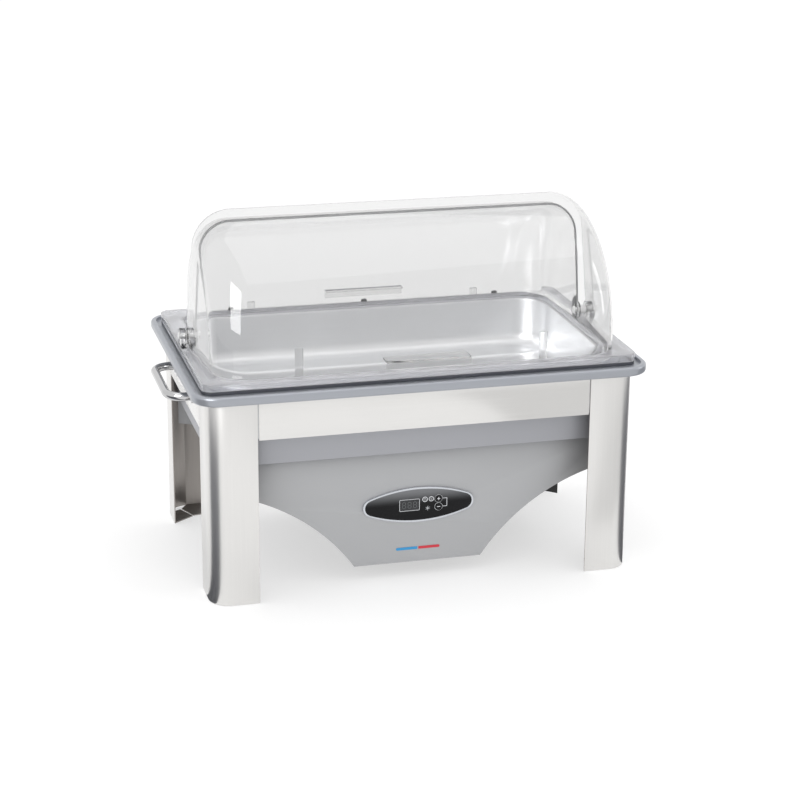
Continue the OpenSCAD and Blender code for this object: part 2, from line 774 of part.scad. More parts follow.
module food_pan() {
  fillet = 18;
  color("silver") {
    translate([0, 0, pan_top - pan_t]) linear_extrude(pan_t) difference() {
      rrect(pan_w, pan_d, pan_r + 6);
      rrect(pan_in_w, pan_in_d, pan_r);
    }
    translate([0, 0, ledge_z]) ring(pan_w, pan_d, pan_r + 6, pan_t, pan_edge);
    sweep(pan_in_w, pan_in_d, pan_r) {
      translate([0, pan_floor + fillet]) square([pan_t, pan_depth - fillet]);
      translate([-fillet, pan_floor + fillet]) quarter_ring(fillet, pan_t);
    }
    translate([0, 0, pan_floor - pan_t]) linear_extrude(pan_t)
      rrect(pan_in_w - 2 * fillet, pan_in_d - 2 * fillet, pan_r - fillet);
  }
}

// ---- Cover -------------------------------------------------------------------------------------

module cover_tray() {
  color("azure", 0.4) {
    translate([0, 0, tray_top - tray_t]) linear_extrude(tray_t) difference() {
      rrect(tray_w, tray_d, tray_r);
      rrect(tray_hole_w, tray_hole_d, pan_r);
    }
    translate([0, 0, tray_z]) ring(tray_w, tray_d, tray_r, tray_t, tray_h);
    translate([0, 0, tray_z])
      ring(tray_hole_w + 2 * tray_t, tray_hole_d + 2 * tray_t, pan_r + tray_t, tray_t, tray_h);
  }
}

// Radius and shape of one half's section: first value runs out from the pivot, second along it
module hood_region(w0, r, c, draft) {
  mid = w0 - c / cos(draft) - (r - c) * tan(draft);
  tr = r - c + c * sin(draft);
  tx = mid + c * cos(draft);
  polygon([[0, -w0], [tr, -tx], [r - c, -mid], [r, -mid], [r, mid], [r - c, mid], [tr, tx], [0, w0]]);
  for (s = [-1, 1]) translate([r - c, s * mid]) circle(c);
}
module hood_section(w0, r, c, draft) {
  intersection() {
    difference() {
      hood_region(w0, r, c, draft);
      hood_region(w0 - hood_t / cos(draft), r - hood_t, c - hood_t, draft);
    }
    translate([0, -w0]) square([r, 2 * w0]);
  }
}
// Half cover standing to the rear of the pivot: a quarter turn and a straight skirt below it
ear_r = 11;
module half_hood(w0, r, c, draft) {
  difference() {
    union() {
      translate([0, 0, pivot_z]) rotate([90, 0, 90])
        rotate_extrude(angle = 90) hood_section(w0, r, c, draft);
      translate([0, 0, skirt_z]) linear_extrude(pivot_z - skirt_z)
        rotate(90) hood_section(w0, r, c, draft);
      for (s = [0, 1]) mirror([s, 0, 0]) translate([w0 - hood_t, 0, pivot_z]) rod_x(ear_r, hood_t);
    }
    translate([-w0 - 5, 0, pivot_z]) rod_x(pin_r + pin_fit, 2 * w0 + 10);
  }
}
module front_hood() {
  color("azure", 0.35) mirror([0, 1, 0]) half_hood(outer_w0, outer_r, outer_c, outer_draft);
}
module rear_hood() {
  color("azure", 0.35) half_hood(inner_w0, inner_r, inner_c, inner_draft);
}

// Finger grip: a ledge that leaves the hood a little above the pivot and turns down
module grip(half, from_r, to_r) {
  t = 2.5;
  difference() {
    translate([-half, from_r - 6, pivot_z + 2.5]) cube([2 * half, to_r - from_r + 6, t]);
    translate([-half - 1, 0, pivot_z]) rod_x(from_r, 2 * half + 2);
  }
  translate([-half, to_r - t, pivot_z - 6]) cube([2 * half, t, 11]);
}
module front_grip() { color("azure", 0.5) mirror([0, 1, 0]) grip(grip_w / 2, outer_r, outer_r + grip_out); }
module rear_grip() {
  color("azure", 0.5) grip(grip_w / 2, inner_r, outer_r - hood_t - 3);
}

bracket_half = 14;
module pivot_brackets() {
  color("azure", 0.5) for (s = [0, 1]) mirror([s, 0, 0]) difference() {
    union() {
      translate([bracket_x, -bracket_half, tray_top]) cube([bracket_t, 2 * bracket_half, pivot_h]);
      translate([bracket_x, 0, pivot_z]) rod_x(bracket_half - 4, bracket_t);
    }
    translate([bracket_x - 1, 0, pivot_z]) rod_x(pin_r + eps, bracket_t + 2);
  }
}
module pivot_pins() {
  start = inner_w0 - hood_t - 3;
  color("silver") for (s = [0, 1]) mirror([s, 0, 0]) translate([0, 0, pivot_z]) {
    translate([start, 0, 0]) rod_x(pin_r, bracket_x + bracket_t - start + eps);
    translate([start - 1.5, 0, 0]) rod_x(pin_r + 2, 1.5 + eps);
    translate([bracket_x + bracket_t, 0, 0]) rod_x(pin_r + 1.5, 1.5);
  }
}
module pivot_spacers() {
  slope = (pin_r + 3) * tan(outer_draft);
  color("whitesmoke") for (s = [0, 1]) mirror([s, 0, 0]) difference() {
    union() {
      translate([inner_w0 + hair, 0, pivot_z]) rod_x(pin_r + 3, inner_inset - hood_t - 2 * hair - slope);
      translate([outer_w0 + hair, 0, pivot_z]) rod_x(pin_r + 3, bracket_x - outer_w0 - hair);
    }
    translate([inner_w0 - 1, 0, pivot_z]) rod_x(pin_r + eps, 30);
  }
}
buffer_x = 187;
post_x = 157;
post_w = 10;
post_t = 4;
front_post_h = 34;
rear_post_h = 9;
module rear_buffers() {
  color("dimgray") for (x = [-1, 0, 1])
    translate([x * buffer_x, inner_r + 5, tray_top]) cylinder(r = 4, h = 4);
}
post_y = inner_r + 7;
module guide_posts() {
  color("azure", 0.5) for (sx = [-1, 1], sy = [-1, 1])
    translate([sx * post_x - post_w / 2, sy * post_y - post_t / 2, tray_top])
      cube([post_w, post_t, sy < 0 ? front_post_h : rear_post_h]);
}

leg_front_left();
leg_front_right();
leg_rear_left();
leg_rear_right();
foot_pads();
apron_front();
apron_rear();
apron_left();
apron_right();
chassis_frame();
chassis_nuts();
top_rim();
rim_gasket();
well_liner();
insulation();
well_casing();
front_panel();
rear_panel();
under_shell();
mains_box();
mains_inlet();
inlet_pins();
rocker_frame();
rocker_switch();
cold_plate();
peltier_modules();
heat_sink_left();
heat_sink_right();
fan_frame_left();
fan_frame_right();
fan_rotor_left();
fan_rotor_right();
power_supply();
control_board();
display_module();
control_bezel();
control_fascia();
display_window();
mode_lamp();
key_plus();
key_minus();
key_power();
key_mode();
handle_left();
handle_right();
handle_screws();
panel_screws();
food_pan();
cover_tray();
pivot_brackets();
pivot_pins();
pivot_spacers();
rear_buffers();
guide_posts();
front_hood();
front_grip();
rear_hood();
rear_grip();
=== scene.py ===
import bpy
import bmesh
import json
from math import cos, pi, radians, sin, tan
from mathutils import Matrix, Vector
from bpy.props import FloatProperty, FloatVectorProperty, IntProperty, PointerProperty

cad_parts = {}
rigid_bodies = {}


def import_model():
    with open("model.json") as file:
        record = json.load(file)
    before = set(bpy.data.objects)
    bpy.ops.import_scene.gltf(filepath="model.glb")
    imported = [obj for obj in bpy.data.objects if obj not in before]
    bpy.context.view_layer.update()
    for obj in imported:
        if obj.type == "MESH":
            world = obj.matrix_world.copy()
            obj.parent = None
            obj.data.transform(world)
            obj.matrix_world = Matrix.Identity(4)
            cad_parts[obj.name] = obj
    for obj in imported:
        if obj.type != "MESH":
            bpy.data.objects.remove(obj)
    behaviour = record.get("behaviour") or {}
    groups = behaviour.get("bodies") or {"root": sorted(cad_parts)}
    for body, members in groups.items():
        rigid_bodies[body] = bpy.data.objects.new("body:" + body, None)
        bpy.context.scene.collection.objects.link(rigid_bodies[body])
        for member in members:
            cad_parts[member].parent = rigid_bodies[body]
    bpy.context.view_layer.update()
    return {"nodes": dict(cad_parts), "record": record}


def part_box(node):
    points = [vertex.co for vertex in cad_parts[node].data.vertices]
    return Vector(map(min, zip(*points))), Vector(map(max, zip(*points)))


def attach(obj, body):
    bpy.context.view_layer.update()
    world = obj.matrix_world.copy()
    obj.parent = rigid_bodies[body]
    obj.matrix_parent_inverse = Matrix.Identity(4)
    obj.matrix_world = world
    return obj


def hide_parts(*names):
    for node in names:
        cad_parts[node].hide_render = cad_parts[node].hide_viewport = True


bl_info = {
    "name": "Roll Top Chafer",
    "version": (1, 0, 0),
    "blender": (4, 5, 0),
    "location": "View3D > Sidebar > Chafer",
    "description": "Builds the finished pieces of an electric roll top chafer on its packed frame",
    "category": "Object",
}

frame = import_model()
NODES = frame["nodes"]
BODIES = frame["record"]["behaviour"]["bodies"]
BODY_OF = {node: body for body, nodes in BODIES.items() for node in nodes}
FLOAT, INT, MATERIAL = "NodeSocketFloat", "NodeSocketInt", "NodeSocketMaterial"
COLOUR, VECTOR = "NodeSocketColor", "NodeSocketVector"


def middle_of(node):
    low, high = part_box(node)
    return (low + high) / 2


PIVOT = middle_of("pivot_pins")


# ---- Settings ----------------------------------------------------------------------------------

def length(name, description, default, **limits):
    return FloatProperty(name=name, description=description, default=default,
                         unit="LENGTH", precision=4, **limits)


def colour(name, description, default):
    return FloatVectorProperty(name=name, description=description, default=default,
                               subtype="COLOR", size=3, min=0.0, max=1.0)


class ChaferStage(bpy.types.PropertyGroup):
    azimuth: FloatProperty(name="Azimuth", description="Camera's turn about the object",
                           default=radians(-14.94), subtype="ANGLE")
    elevation: FloatProperty(name="Elevation", description="Camera's height above the horizon",
                             default=radians(18.39), subtype="ANGLE")
    roll: FloatProperty(name="Roll", description="Camera's turn about its own axis",
                        default=radians(0.468), subtype="ANGLE")
    distance: length("Distance", "From the camera to the point it aims at", 2.8367)
    aim: FloatVectorProperty(name="Aim", description="Point that the camera aims at",
                             default=(0.0124, 0.0, 0.1932), subtype="TRANSLATION")
    lens: FloatProperty(name="Lens", description="Focal length in millimetres", default=96.35)
    floor_colour: colour("Floor", "Colour of the floor", (0.5, 0.5, 0.5))
    floor_light: FloatProperty(name="Floor light", description="Strength of the lit floor", default=1.1)
    card_colour: colour("Dark cards", "Colour of the dark cards that only reflections show",
                        (0.12, 0.125, 0.14))
    pale_colour: colour("Pale card", "Colour of the pale card that only reflections show",
                        (0.38, 0.38, 0.38))


class ChaferMetal(bpy.types.PropertyGroup):
    leg_colour: colour("Legs", "Colour of the brushed legs and aprons", (0.73, 0.722, 0.708))
    pan_colour: colour("Pan", "Colour of the pan and the well", (0.84, 0.845, 0.855))
    # Casing: the panels' grey paint made darker and bluer as painted shade under the aprons.
    shaded_casing_colour: colour("Casing", "Colour of the well casing's paint, darkened as painted shade", (0.365, 0.37, 0.395))
    panel_colour: colour("Panels", "Colour of the painted panels", (0.43, 0.435, 0.445))
    # Leg insides: the leg steel made darker and browner as painted shade for the shaded inside of the
    # stand.
    shaded_inside_colour: colour("Leg insides", "Colour of the legs' insides, darkened as painted shade", (0.38, 0.355, 0.335))
    edge_round: length("Edge rounding", "Rounding of the sheet's edges", 0.0003)
    fold_round: length("Moulded rounding", "Rounding of moulded plastic edges", 0.0006)


class ChaferPlastic(bpy.types.PropertyGroup):
    rim_colour: colour("Rim", "Colour of the silver rim", (0.36, 0.376, 0.41))
    clear_colour: colour("Clear", "Tint of the clear cover", (0.84, 0.84, 0.84))
    fascia_colour: colour("Fascia", "Colour of the gloss control panel", (0.004, 0.004, 0.005))


class ChaferHood(bpy.types.PropertyGroup):
    wall: length("Wall", "Thickness of the clear halves", 0.0025)
    front_round: length("Front rounding", "Rounding at the ends of the front half", 0.050)
    rear_round: length("Rear rounding", "Rounding at the ends of the rear half", 0.042)
    front_draft: FloatProperty(name="Front draft", description="Slope of the front half's ends",
                               default=radians(4.5), subtype="ANGLE")
    rear_draft: FloatProperty(name="Rear draft", description="Slope of the rear half's ends",
                              default=radians(3.0), subtype="ANGLE")
    arc_steps: IntProperty(name="Arc steps", description="Steps round the quarter turn", default=48,
                           min=8, max=96)


class ChaferHandle(bpy.types.PropertyGroup):
    bar_radius: length("Bar radius", "Radius of the handle's bar", 0.0055)
    bend_radius: length("Bend radius", "Radius of the bar's bends", 0.022)
    span: length("Span", "Distance between the handle's arms", 0.132)


class ChaferPan(bpy.types.PropertyGroup):
    corner: length("Corner", "Inner corner radius of the pan", 0.040)
    floor_round: length("Floor rounding", "Rounding between the pan's wall and floor", 0.018)
    sheet: length("Sheet", "Thickness of the pan", 0.0008)
    flange: length("Flange", "Width of the pan's flange", 0.013)


# ---- Shader groups -----------------------------------------------------------------------------

def new_group(name, inputs, outputs):
    tree = bpy.data.node_groups.new(name, "ShaderNodeTree")
    for label, kind, value in inputs:
        socket = tree.interface.new_socket(label, in_out="INPUT", socket_type=kind)
        socket.default_value = value
    for label, kind in outputs:
        tree.interface.new_socket(label, in_out="OUTPUT", socket_type=kind)
    return tree, tree.nodes.new("NodeGroupInput"), tree.nodes.new("NodeGroupOutput")


def feed(tree, socket, value):
    """Links an output to a socket, or sets the socket to a plain value."""
    if isinstance(value, bpy.types.NodeSocket):
        tree.links.new(value, socket)
    elif value is not None:
        socket.default_value = value


def math_node(tree, operation, a, b=None):
    node = tree.nodes.new("ShaderNodeMath")
    node.operation = operation
    feed(tree, node.inputs[0], a)
    feed(tree, node.inputs[1], b)
    return node.outputs[0]


def noise_node(tree, vector, scale, detail, roughness=0.5):
    node = tree.nodes.new("ShaderNodeTexNoise")
    for label, value in (("Vector", vector), ("Scale", scale), ("Detail", detail),
                         ("Roughness", roughness)):
        feed(tree, node.inputs[label], value)
    return node.outputs["Fac"]


def mixed_colour(tree, factor, a, b):
    node = tree.nodes.new("ShaderNodeMix")
    node.data_type = "RGBA"
    feed(tree, node.inputs["Factor"], factor)
    for label, value in (("A", a), ("B", b)):
        socket = [s for s in node.inputs if s.name == label and s.type == "RGBA"][0]
        socket.default_value = (*value, 1.0)
    return [s for s in node.outputs if s.type == "RGBA"][0]


def scaled_colour(tree, source, factor):
    node = tree.nodes.new("ShaderNodeVectorMath")
    node.operation = "SCALE"
    feed(tree, node.inputs[0], source)
    feed(tree, node.inputs["Scale"], factor)
    return node.outputs[0]


def centred(tree, value, amount, middle):
    """middle + (value - 0.5) * amount"""
    spread = math_node(tree, "MULTIPLY", math_node(tree, "SUBTRACT", value, 0.5), amount)
    return math_node(tree, "ADD", spread, middle)


def brushed_group():
    """Long fine scratches along one direction, with slow clouding from handling."""
    tree, start, end = new_group(
        "Brushed grain",
        [("Vector", VECTOR, (0, 0, 0)), ("Colour", COLOUR, (0.8, 0.8, 0.8, 1)),
         ("Contrast", FLOAT, 0.08), ("Roughness", FLOAT, 0.3),
         ("Spread", FLOAT, 0.12), ("Clouding", FLOAT, 0.05)],
        [("Colour", COLOUR), ("Roughness", FLOAT), ("Height", FLOAT)])
    grain = noise_node(tree, start.outputs["Vector"], 1.0, 3.0, 0.6)
    fine = noise_node(tree, start.outputs["Vector"], 3.1, 2.0, 0.6)
    both = math_node(tree, "MULTIPLY", math_node(tree, "ADD", grain, fine), 0.5)
    coords = tree.nodes.new("ShaderNodeTexCoord")
    cloud = noise_node(tree, coords.outputs["Object"], 9.0, 3.0)
    level = centred(tree, both, start.outputs["Contrast"], 1.0)
    level = math_node(tree, "ADD", level, centred(tree, cloud, start.outputs["Clouding"], 0.0))
    tree.links.new(scaled_colour(tree, start.outputs["Colour"], level), end.inputs["Colour"])
    rough = centred(tree, both, start.outputs["Spread"], start.outputs["Roughness"])
    rough = math_node(tree, "ADD", rough, centred(tree, cloud, 0.06, 0.0))
    tree.links.new(rough, end.inputs["Roughness"])
    tree.links.new(both, end.inputs["Height"])
    return tree


def moulded_group():
    """Fine moulded or sprayed texture with faint mottling."""
    tree, start, end = new_group(
        "Moulded texture",
        [("Colour", COLOUR, (0.5, 0.5, 0.5, 1)), ("Scale", FLOAT, 900.0),
         ("Mottle", FLOAT, 0.06), ("Roughness", FLOAT, 0.4),
         ("Spread", FLOAT, 0.1)],
        [("Colour", COLOUR), ("Roughness", FLOAT), ("Height", FLOAT)])
    coords = tree.nodes.new("ShaderNodeTexCoord")
    grain = noise_node(tree, coords.outputs["Object"], start.outputs["Scale"], 2.0)
    cloud = noise_node(tree, coords.outputs["Object"], 11.0, 4.0, 0.6)
    level = centred(tree, cloud, start.outputs["Mottle"], 1.0)
    level = math_node(tree, "ADD", level, centred(tree, grain, start.outputs["Mottle"], 0.0))
    tree.links.new(scaled_colour(tree, start.outputs["Colour"], level), end.inputs["Colour"])
    rough = centred(tree, cloud, start.outputs["Spread"], start.outputs["Roughness"])
    tree.links.new(rough, end.inputs["Roughness"])
    tree.links.new(grain, end.inputs["Height"])
    return tree


def wiped_group():
    """Faint wiping marks that only change how sharp a gloss is."""
    tree, start, end = new_group(
        "Wiping marks",
        [("Roughness", FLOAT, 0.02), ("Spread", FLOAT, 0.04),
         ("Scale", FLOAT, 6.0)],
        [("Roughness", FLOAT), ("Height", FLOAT)])
    coords = tree.nodes.new("ShaderNodeTexCoord")
    mapping = tree.nodes.new("ShaderNodeMapping")
    mapping.inputs["Scale"].default_value = (1.0, 3.0, 3.0)
    tree.links.new(coords.outputs["Object"], mapping.inputs["Vector"])
    smear = noise_node(tree, mapping.outputs["Vector"], start.outputs["Scale"], 5.0, 0.65)
    sharp = math_node(tree, "POWER", smear, 3.0)
    rough = math_node(tree, "ADD", math_node(tree, "MULTIPLY", sharp, start.outputs["Spread"]),
                      start.outputs["Roughness"])
    tree.links.new(rough, end.inputs["Roughness"])
    tree.links.new(smear, end.inputs["Height"])
    return tree


GROUPS = {}
FINISHES = {}


def group(key):
    if key not in GROUPS:
        GROUPS[key] = {"brushed": brushed_group, "moulded": moulded_group, "wiped": wiped_group}[key]()
    return GROUPS[key]


def blank(name):
    material = bpy.data.materials.new(name)
    material.use_nodes = True
    tree = material.node_tree
    shader = tree.nodes["Principled BSDF"]
    return material, tree, shader


def add_group(tree, key, **values):
    node = tree.nodes.new("ShaderNodeGroup")
    node.node_tree = group(key)
    for label, value in values.items():
        socket = node.inputs[label]
        socket.default_value = (*value, 1.0) if socket.type == "RGBA" else value
    return node


def add_bump(tree, shader, height, strength, distance):
    bump = tree.nodes.new("ShaderNodeBump")
    bump.inputs["Strength"].default_value = strength
    bump.inputs["Distance"].default_value = distance
    tree.links.new(height, bump.inputs["Height"])
    tree.links.new(bump.outputs["Normal"], shader.inputs["Normal"])


def brushed(name, tint, along, roughness=0.28, contrast=0.10, spread=0.12, clouding=0.05,
            metallic=1.0):
    """Brushed metal. along holds how tightly the scratches are packed in X, Y and Z."""
    material, tree, shader = blank(name)
    coords = tree.nodes.new("ShaderNodeTexCoord")
    mapping = tree.nodes.new("ShaderNodeMapping")
    mapping.inputs["Scale"].default_value = along
    tree.links.new(coords.outputs["Object"], mapping.inputs["Vector"])
    node = add_group(tree, "brushed", Colour=tint, Contrast=contrast, Roughness=roughness,
                     Spread=spread, Clouding=clouding)
    tree.links.new(mapping.outputs["Vector"], node.inputs["Vector"])
    tree.links.new(node.outputs["Colour"], shader.inputs["Base Color"])
    tree.links.new(node.outputs["Roughness"], shader.inputs["Roughness"])
    shader.inputs["Metallic"].default_value = metallic
    add_bump(tree, shader, node.outputs["Height"], 0.12, 0.00003)
    return material


def moulded(name, tint, roughness=0.4, scale=900.0, mottle=0.05, spread=0.1, bump=0.15,
            metallic=0.0, coat=0.0, specular=0.5):
    """Moulded or painted surface."""
    material, tree, shader = blank(name)
    node = add_group(tree, "moulded", Colour=tint, Scale=scale, Mottle=mottle, Roughness=roughness,
                     Spread=spread)
    tree.links.new(node.outputs["Colour"], shader.inputs["Base Color"])
    tree.links.new(node.outputs["Roughness"], shader.inputs["Roughness"])
    shader.inputs["Metallic"].default_value = metallic
    shader.inputs["Coat Weight"].default_value = coat
    shader.inputs["Coat Roughness"].default_value = 0.08
    shader.inputs["Specular IOR Level"].default_value = specular
    add_bump(tree, shader, node.outputs["Height"], bump, 0.00004)
    return material


def polished(name, tint, roughness=0.03, spread=0.08, metallic=1.0):
    """Polished metal or gloss plastic with wiping marks."""
    material, tree, shader = blank(name)
    node = add_group(tree, "wiped", Roughness=roughness, Spread=spread, Scale=20.0)
    shader.inputs["Base Color"].default_value = (*tint, 1.0)
    shader.inputs["Metallic"].default_value = metallic
    tree.links.new(node.outputs["Roughness"], shader.inputs["Roughness"])
    add_bump(tree, shader, node.outputs["Height"], 0.03, 0.0002)
    return material


def graded(name, low_tint, high_tint, low_z, high_z, roughness=0.06):
    """Gloss plastic whose colour fades from one colour at the bottom to another at the top."""
    material = polished(name, low_tint, roughness=roughness, spread=0.08, metallic=0.0)
    tree = material.node_tree
    shader = tree.nodes["Principled BSDF"]
    shader.inputs["Specular IOR Level"].default_value = 0.2
    coords = tree.nodes.new("ShaderNodeTexCoord")
    split = tree.nodes.new("ShaderNodeSeparateXYZ")
    tree.links.new(coords.outputs["Object"], split.inputs[0])
    fade = tree.nodes.new("ShaderNodeMapRange")
    fade.interpolation_type = "SMOOTHSTEP"
    fade.inputs["From Min"].default_value = low_z
    fade.inputs["From Max"].default_value = high_z
    tree.links.new(split.outputs["Z"], fade.inputs["Value"])
    tint = mixed_colour(tree, fade.outputs["Result"], low_tint, high_tint)
    tree.links.new(tint, shader.inputs["Base Color"])
    return material


def clear(name, tint, roughness=0.01, spread=0.04, ior=1.45, transmission=1.0):
    """Clear plastic that lets most of the light through its shadow."""
    material, tree, shader = blank(name)
    node = add_group(tree, "wiped", Roughness=roughness, Spread=spread, Scale=5.0)
    shader.inputs["Base Color"].default_value = (*tint, 1.0)
    shader.inputs["Transmission Weight"].default_value = transmission
    shader.inputs["IOR"].default_value = ior
    tree.links.new(node.outputs["Roughness"], shader.inputs["Roughness"])
    see_through = tree.nodes.new("ShaderNodeBsdfTransparent")
    see_through.inputs["Color"].default_value = (*[c * 0.97 for c in tint], 1.0)
    path = tree.nodes.new("ShaderNodeLightPath")
    mix = tree.nodes.new("ShaderNodeMixShader")
    tree.links.new(path.outputs["Is Shadow Ray"], mix.inputs[0])
    tree.links.new(shader.outputs[0], mix.inputs[1])
    tree.links.new(see_through.outputs[0], mix.inputs[2])
    out = [n for n in tree.nodes if n.type == "OUTPUT_MATERIAL"][0]
    tree.links.new(mix.outputs[0], out.inputs["Surface"])
    return material


def glowing(name, tint, strength):
    """Display segments and lamps: a moulded surface with its own faint light."""
    material = moulded(name, tint, roughness=0.3, mottle=0.02)
    shader = material.node_tree.nodes["Principled BSDF"]
    shader.inputs["Emission Color"].default_value = (*tint, 1.0)
    shader.inputs["Emission Strength"].default_value = strength
    return material


def light_table(name, tint, strength):
    """Matt floor lit from below, so that the shadows on it stay pale."""
    material = glowing(name, tint, strength)
    shader = material.node_tree.nodes["Principled BSDF"]
    shader.inputs["Specular IOR Level"].default_value = 0.0
    return material


def build_finishes(scene):
    metal, plastic, stage = scene.chafer_metal, scene.chafer_plastic, scene.chafer_stage
    legs = tuple(metal.leg_colour)
    pan = tuple(metal.pan_colour)
    casing = tuple(metal.shaded_casing_colour)
    rim = tuple(plastic.rim_colour)
    tint = tuple(plastic.clear_colour)
    fascia = tuple(plastic.fascia_colour)
    fascia_low, fascia_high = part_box("control_fascia")
    fascia_middle = (fascia_low.z + fascia_high.z) / 2
    upright, across = (420.0, 420.0, 5.0), (5.0, 420.0, 420.0)
    FINISHES.update(
        legs=brushed("Brushed leg steel", legs, upright, roughness=0.31, contrast=0.10),
        aprons=brushed("Brushed apron steel", legs, across, roughness=0.20, contrast=0.10),
        side_aprons=brushed("Brushed side apron steel", legs, (420.0, 5.0, 420.0), roughness=0.22),
        zinc=brushed("Zinc plate", (0.56, 0.57, 0.58), (60.0, 60.0, 60.0), roughness=0.4, clouding=0.2),
        pan=brushed("Satin pan steel", pan, (9.0, 380.0, 380.0), roughness=0.36, contrast=0.12,
                    clouding=0.12),
        well=brushed("Satin well steel", pan, (9.0, 300.0, 300.0), roughness=0.34, contrast=0.1),
        # Painted shade: the casing gets a darker copy of the panel paint for the shade under the aprons.
        casing=moulded("Grey casing paint with painted shade", casing, roughness=0.42, scale=1400.0, mottle=0.05,
                       metallic=0.35, bump=0.12),
        panels=moulded("Grey panel paint", tuple(metal.panel_colour), roughness=0.45, scale=1400.0,
                       mottle=0.05, metallic=0.3, bump=0.12),
        # Painted shade: the legs' inward faces get this darker copy of the leg steel for the shade inside
        # the stand.
        leg_insides=brushed("Leg steel with painted shade", tuple(metal.shaded_inside_colour), (60.0, 60.0, 4.0),
                            roughness=0.42, contrast=0.35, clouding=0.25),
        rim=moulded("Silver rim plastic", rim, roughness=0.30, scale=1600.0, mottle=0.05,
                    metallic=0.45, bump=0.08),
        bezel=moulded("Silver bezel plastic", (0.62, 0.64, 0.68), roughness=0.25, scale=1800.0,
                      mottle=0.04, metallic=0.6, bump=0.05),
        black_sheet=moulded("Black sheet paint", (0.018, 0.018, 0.019), roughness=0.5, scale=700.0),
        black_plastic=moulded("Black plastic", (0.02, 0.02, 0.021), roughness=0.45, scale=1100.0,
                              bump=0.3),
        red_plastic=moulded("Red rocker plastic", (0.45, 0.02, 0.02), roughness=0.25, scale=1300.0),
        foam=moulded("Insulation foam", (0.74, 0.72, 0.66), roughness=0.95, scale=350.0, mottle=0.2,
                     bump=0.8),
        aluminium=brushed("Extruded aluminium", (0.80, 0.80, 0.81), (30.0, 420.0, 30.0),
                          roughness=0.32),
        ceramic=moulded("White ceramic", (0.82, 0.82, 0.80), roughness=0.6),
        board=moulded("Green circuit board", (0.02, 0.13, 0.05), roughness=0.35, mottle=0.15),
        display=moulded("Red display body", (0.05, 0.006, 0.006), roughness=0.2),
        fascia=graded("Gloss black fascia", fascia, (0.20, 0.205, 0.215), fascia_middle,
                      fascia_high.z),
        keys=graded("Gloss black keys", fascia, fascia, 0.0, 1.0),
        window=polished("Smoked window", (0.02, 0.021, 0.024), roughness=0.04, metallic=0.0),
        marks=moulded("Pale printed marks", (0.74, 0.75, 0.78), roughness=0.5, scale=2000.0),
        segments=glowing("Dim display segments", (0.09, 0.095, 0.10), 0.03),
        lamp=glowing("Frosted lamp", (0.07, 0.08, 0.09), 0.02),
        cold=moulded("Blue enamel", (0.03, 0.30, 0.62), roughness=0.4, scale=1500.0),
        hot=moulded("Red enamel", (0.62, 0.03, 0.05), roughness=0.4, scale=1500.0),
        chrome=polished("Polished chrome", (0.54, 0.54, 0.545)),
        white_plastic=moulded("White plastic", (0.80, 0.80, 0.80), roughness=0.4, scale=1200.0),
        rubber=moulded("Black rubber", (0.035, 0.035, 0.038), roughness=0.75, scale=900.0, bump=0.4),
        clear=clear("Clear polycarbonate", tint),
        # Painted shade: the gasket's dark colour stands in for the shadow gap between the tray's edge and
        # the rim's lip.
        gasket=moulded("Dark gasket rubber as painted shade", (0.085, 0.09, 0.105), roughness=0.4, scale=900.0,
                       bump=0.2),
        clear_tray=clear("Clear tray polycarbonate", (0.88, 0.88, 0.90), roughness=0.03,
                         transmission=0.76),
        clear_grip=clear("Clear grip polycarbonate", tint, roughness=0.06, ior=1.18),
        # Painted shade: the grey, rougher edge finish stands in for the thin line that the clear end
        # faces throw by refraction.
        clear_edge=clear("Polycarbonate edge with painted shade", (0.62, 0.63, 0.65), roughness=0.35,
                         transmission=0.55),
        floor=light_table("Light table", tuple(stage.floor_colour), stage.floor_light),
        pale_card=light_table("Pale front card", tuple(stage.pale_colour), stage.floor_light),
        card=moulded("Dark side card", tuple(stage.card_colour), roughness=0.9,
                     scale=50.0, specular=0.1),
    )


# ---- Mesh helpers ------------------------------------------------------------------------------

def mesh_object(name, verts, faces):
    mesh = bpy.data.meshes.new(name)
    mesh.from_pydata([tuple(v) for v in verts], [], faces)
    obj = bpy.data.objects.new(name, mesh)
    bpy.context.scene.collection.objects.link(obj)
    return obj


def clean(obj, merge=1e-6, recalculate=True):
    """Merges doubles and points every face outwards."""
    bm = bmesh.new()
    bm.from_mesh(obj.data)
    bmesh.ops.remove_doubles(bm, verts=bm.verts, dist=merge)
    bmesh.ops.dissolve_degenerate(bm, edges=bm.edges, dist=merge)
    if recalculate:
        bmesh.ops.recalc_face_normals(bm, faces=bm.faces)
    bm.to_mesh(obj.data)
    bm.free()


def apply_modifiers(obj):
    depsgraph = bpy.context.evaluated_depsgraph_get()
    mesh = bpy.data.meshes.new_from_object(obj.evaluated_get(depsgraph))
    old = obj.data
    obj.modifiers.clear()
    obj.data = mesh
    mesh.name = obj.name
    bpy.data.meshes.remove(old)


def rounded(obj, width, angle=35.0, segments=2):
    """Rounds the sharp edges and applies the result."""
    bevel = obj.modifiers.new("Rounding", "BEVEL")
    bevel.width = width
    bevel.segments = segments
    bevel.limit_method = "ANGLE"
    bevel.angle_limit = radians(angle)
    apply_modifiers(obj)


def smooth(obj, angle=38.0):
    obj.data.polygons.foreach_set("use_smooth", [True] * len(obj.data.polygons))
    obj.data.set_sharp_from_angle(angle=radians(angle))
    obj.data.update()


def hand_over(obj, body, finish, *replaced):
    """Gives a piece its finish and its body, and hides the nodes that it stands for."""
    obj.data.materials.clear()
    obj.data.materials.append(FINISHES[finish])
    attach(obj, body)
    if replaced:
        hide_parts(*replaced)
    return obj


